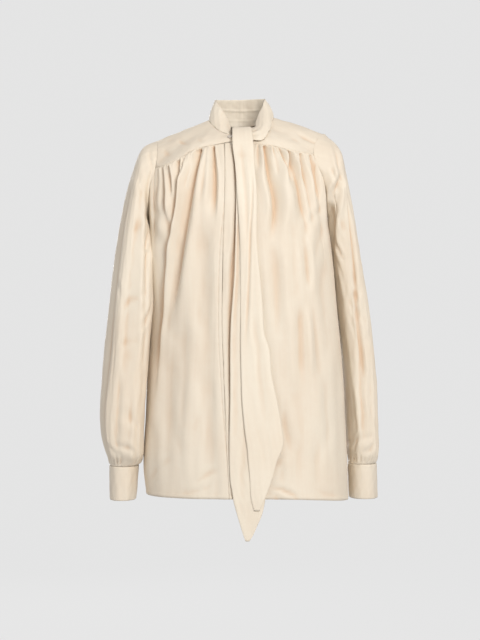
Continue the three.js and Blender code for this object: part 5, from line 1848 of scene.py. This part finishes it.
class BLOUSE_OT_cuffs(bpy.types.Operator):
    """Make the two cuffs and their stitches"""

    bl_idname = "blouse.cuffs"
    bl_label = "Cuffs"

    def execute(self, context):
        cloth, sewing = context.scene.blouse_cloth, context.scene.blouse_sewing
        lines = []
        for side in (RIGHT, LEFT):
            grid = cuff_grid(side)
            leftward = side is LEFT
            look = cloth_look("ivory_crepe")
            obj = make_cloth(f"cloth_cuff_{side.name}", grid, cloth.doubled, look, leftward=leftward)
            declare_cloth(obj, grid, [f"cuff_{side.name}"])
            lines.append(row_line(grid, leftward, CUFF_STITCH))
            lines.append(row_line(grid, leftward, CUFF_STITCH, from_top=True))
        make_stitches("stitches_cuffs", lines, sewing)
        return {"FINISHED"}


def inset_top(width, drop):
    """Insets the chosen faces of a button and moves them down."""
    bpy.ops.mesh.inset(thickness=width)
    bpy.ops.transform.translate(value=(0, 0, -drop))


def make_button(name, node, look):
    """A four-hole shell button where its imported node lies, sewn on with crossed threads."""
    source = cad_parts[node]
    corners = np.array([tuple(source.matrix_world @ v.co) for v in source.data.vertices])
    centre = corners.mean(0)
    axis = unit(np.linalg.svd(corners - centre)[2][2])
    middle_x = np.sign(centre[0]) * CUFF_MIDDLE_X * MM if "cuff" in node else 0.0
    if np.dot(axis, centre - np.array([middle_x, 0.0, centre[2]])) < 0:
        axis = -axis
    height = (corners - centre) @ axis
    base, thickness = height.min(), height.max() - height.min()
    radius = np.linalg.norm(corners - centre - np.outer(height, axis), axis=1).max()
    bpy.ops.object.select_all(action="DESELECT")
    bpy.ops.mesh.primitive_cylinder_add(
        vertices=40, radius=radius * BUTTON["radius"], depth=thickness * BUTTON["depth"]
    )
    obj = bpy.context.active_object
    obj.name = name
    bpy.ops.object.mode_set(mode="EDIT")
    bpy.ops.mesh.select_all(action="DESELECT")
    bpy.ops.object.mode_set(mode="OBJECT")
    for polygon in obj.data.polygons:
        polygon.select = polygon.normal.z > 0.9
    bpy.ops.object.mode_set(mode="EDIT")
    inset_top(radius * BUTTON["rim"], thickness * BUTTON["dish"])
    inset_top(radius * BUTTON["slope"], thickness * BUTTON["floor"])
    bpy.ops.object.mode_set(mode="OBJECT")
    bevel = {"width": thickness * BUTTON["bevel"], "segments": 3}
    apply_modifier(obj, "BEVEL", limit_method="ANGLE", angle_limit=math.radians(30), **bevel)
    holes = []
    spread, hole_radius = radius * BUTTON["spread"], radius * BUTTON["hole"]
    for k in range(4):
        angle = math.pi / 4 + k * math.pi / 2
        bpy.ops.object.select_all(action="DESELECT")
        bpy.ops.mesh.primitive_cylinder_add(
            vertices=16,
            radius=hole_radius,
            depth=thickness * 3,
            location=(spread * math.cos(angle), spread * math.sin(angle), 0),
        )
        holes.append(bpy.context.active_object)
    for hole in holes:
        apply_modifier(obj, "BOOLEAN", object=hole, operation="DIFFERENCE", solver="EXACT")
    for hole in holes:
        bpy.data.objects.remove(hole)
    turn = Vector((0, 0, 1)).rotation_difference(Vector(axis)).to_matrix().to_4x4()
    place = Matrix.Translation(Vector(centre + axis * (base + thickness * BUTTON["rise"]))) @ turn
    obj.data.transform(place)
    obj.data.materials.clear()
    obj.data.materials.append(look)
    select_only(obj)
    bpy.ops.object.shade_smooth_by_angle(angle=math.radians(35))
    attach(obj, "root")
    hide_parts(node)
    sew_button(f"{name}_thread", place, spread, thickness, hole_radius)


def sew_button(name, place, spread, thickness, hole_radius):
    """Two bars of thread through a button's four holes, each a bundle of three strands."""
    vertices, faces = [], []
    steps, strand, up = 8, hole_radius * 0.36, Vector((0, 0, 1))
    for bar in range(2):
        angle = math.pi / 4 + bar * math.pi / 2
        ahead = Vector((math.cos(angle), math.sin(angle), 0))
        across = Vector((-ahead.y, ahead.x, 0))
        for offset in (-1, 0, 1):
            faces += tube_faces(len(vertices), steps + 1, TUBE_SIDES)
            for i in range(steps + 1):
                t = i / steps
                rise = thickness * (-0.25 + 0.5 * math.sin(math.pi * t) ** 0.5) + bar * strand
                centre = ahead * spread * (2 * t - 1) + across * offset * strand * 1.6 + up * rise
                for k in range(TUBE_SIDES):
                    turn = 2 * math.pi * k / TUBE_SIDES
                    rim = across * math.cos(turn) * strand + up * math.sin(turn) * strand
                    vertices.append(place @ (centre + rim))
    make_thread(name, vertices, faces)


class BLOUSE_OT_buttons(bpy.types.Operator):
    """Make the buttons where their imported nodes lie"""

    bl_idname = "blouse.buttons"
    bl_label = "Buttons"

    def execute(self, context):
        look = button_material(context.scene.blouse_sewing.button_colour)
        nodes = sorted(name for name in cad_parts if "button" in name)
        if not nodes:
            raise RuntimeError("The frame has no buttons")
        for node in nodes:
            make_button(f"shell_{node}", node, look)
        return {"FINISHED"}


def area_light(name, power):
    """A round studio light that the camera doesn't see."""
    given = LIGHTS[name]
    data = bpy.data.lights.new(name, "AREA")
    data.shape = "DISK"
    data.size = given["size"]
    data.energy = power
    data.color = given["colour"]
    lamp = add_object(name, data)
    lamp.location = given["place"]
    way = Vector(LIGHT_TARGET) - Vector(given["place"])
    lamp.rotation_euler = way.to_track_quat("-Z", "Y").to_euler()
    lamp.visible_camera = False


def bowl_mesh(studio):
    """The studio's floor and backdrop in one: a round floor that bends up into a wall."""
    floor_z, radius = -studio.floor_drop, studio.bowl_radius
    bend, steps, segments = radius * BOWL["bend"], BOWL["steps"], BOWL["segments"]
    profile = [(radius - bend, floor_z)]
    for k in range(1, steps + 1):
        angle = math.pi / 2 * k / steps
        profile.append((radius - bend + bend * math.sin(angle), floor_z + bend * (1 - math.cos(angle))))
    profile.append((radius, floor_z + radius * BOWL["wall"]))
    vertices = []
    for reach, z in profile:
        for k in range(segments):
            angle = 2 * math.pi * k / segments
            vertices.append((reach * math.cos(angle), reach * math.sin(angle), z))
    mesh = bpy.data.meshes.new("studio_bowl")
    mesh.from_pydata(vertices, [], tube_faces(0, len(profile), segments))
    mesh.shade_smooth()
    return mesh


class BLOUSE_OT_stage(bpy.types.Operator):
    """Make the pale floor and backdrop, the lights and the camera"""

    bl_idname = "blouse.stage"
    bl_label = "Studio"

    def execute(self, context):
        studio = context.scene.blouse_studio
        mesh = bowl_mesh(studio)
        material = bpy.data.materials.new("pale_paper")
        material.use_nodes = True
        surface = material.node_tree.nodes["Principled BSDF"]
        surface.inputs["Base Color"].default_value = (0.02, 0.02, 0.02, 1)
        surface.inputs["Roughness"].default_value = 1.0
        surface.inputs["Specular IOR Level"].default_value = 0.0
        surface.inputs["Emission Color"].default_value = (*studio.backdrop, 1)
        surface.inputs["Emission Strength"].default_value = 1.0
        mesh.materials.append(material)
        bowl = add_object("studio_bowl", mesh)
        bowl.visible_diffuse = False
        bowl.visible_glossy = False
        world = bpy.data.worlds.new("studio_air")
        world.use_nodes = True
        air = world.node_tree.nodes["Background"]
        air.inputs["Color"].default_value = AIR_COLOUR
        air.inputs["Strength"].default_value = studio.air_strength
        context.scene.world = world
        area_light("key", studio.key_power)
        area_light("fill", studio.fill_power)
        area_light("behind", studio.back_power)
        camera_data = bpy.data.cameras.new("camera")
        camera = add_object("camera", camera_data)
        camera.location = (0.0, -studio.camera_distance, studio.camera_height)
        camera.rotation_euler = (math.pi / 2, 0, 0)
        camera_data.sensor_fit = "VERTICAL"
        camera_data.angle_y = 2 * math.atan(studio.view_height / 2 / studio.camera_distance)
        context.scene.camera = camera
        context.scene.view_settings.view_transform = "Standard"
        return {"FINISHED"}


OPERATORS = (
    BLOUSE_OT_stage,
    BLOUSE_OT_yoke,
    BLOUSE_OT_fronts,
    BLOUSE_OT_back,
    BLOUSE_OT_plackets,
    BLOUSE_OT_collar,
    BLOUSE_OT_tails,
    BLOUSE_OT_sleeves,
    BLOUSE_OT_cuffs,
    BLOUSE_OT_buttons,
)


class BLOUSE_PT_panel(bpy.types.Panel):
    """Lists the blouse's sizes and the pieces that can be made"""

    bl_idname = "BLOUSE_PT_panel"
    bl_label = "Blouse"
    bl_space_type = "VIEW_3D"
    bl_region_type = "UI"
    bl_category = "Blouse"

    def draw(self, context):
        layout = self.layout
        scene = context.scene
        for group in (scene.blouse_cloth, scene.blouse_sewing, scene.blouse_studio):
            box = layout.box()
            for name in group.__annotations__:
                box.prop(group, name)
        for operator in OPERATORS:
            layout.operator(operator.bl_idname)


GROUPS = {"blouse_cloth": BlouseCloth, "blouse_sewing": BlouseSewing, "blouse_studio": BlouseStudio}


def register():
    """Adds the blouse's groups of properties, its operators and its panel."""
    for name, group in GROUPS.items():
        bpy.utils.register_class(group)
        setattr(bpy.types.Scene, name, PointerProperty(type=group))
    for item in (*OPERATORS, BLOUSE_PT_panel):
        bpy.utils.register_class(item)


def unregister():
    """Takes away what register added."""
    for item in (BLOUSE_PT_panel, *reversed(OPERATORS)):
        bpy.utils.unregister_class(item)
    for name, group in GROUPS.items():
        delattr(bpy.types.Scene, name)
        bpy.utils.unregister_class(group)


def main():
    """Makes every piece."""
    register()
    for operator in OPERATORS:
        group, name = operator.bl_idname.split(".")
        getattr(getattr(bpy.ops, group), name)()


if __name__ == "__main__":
    main()
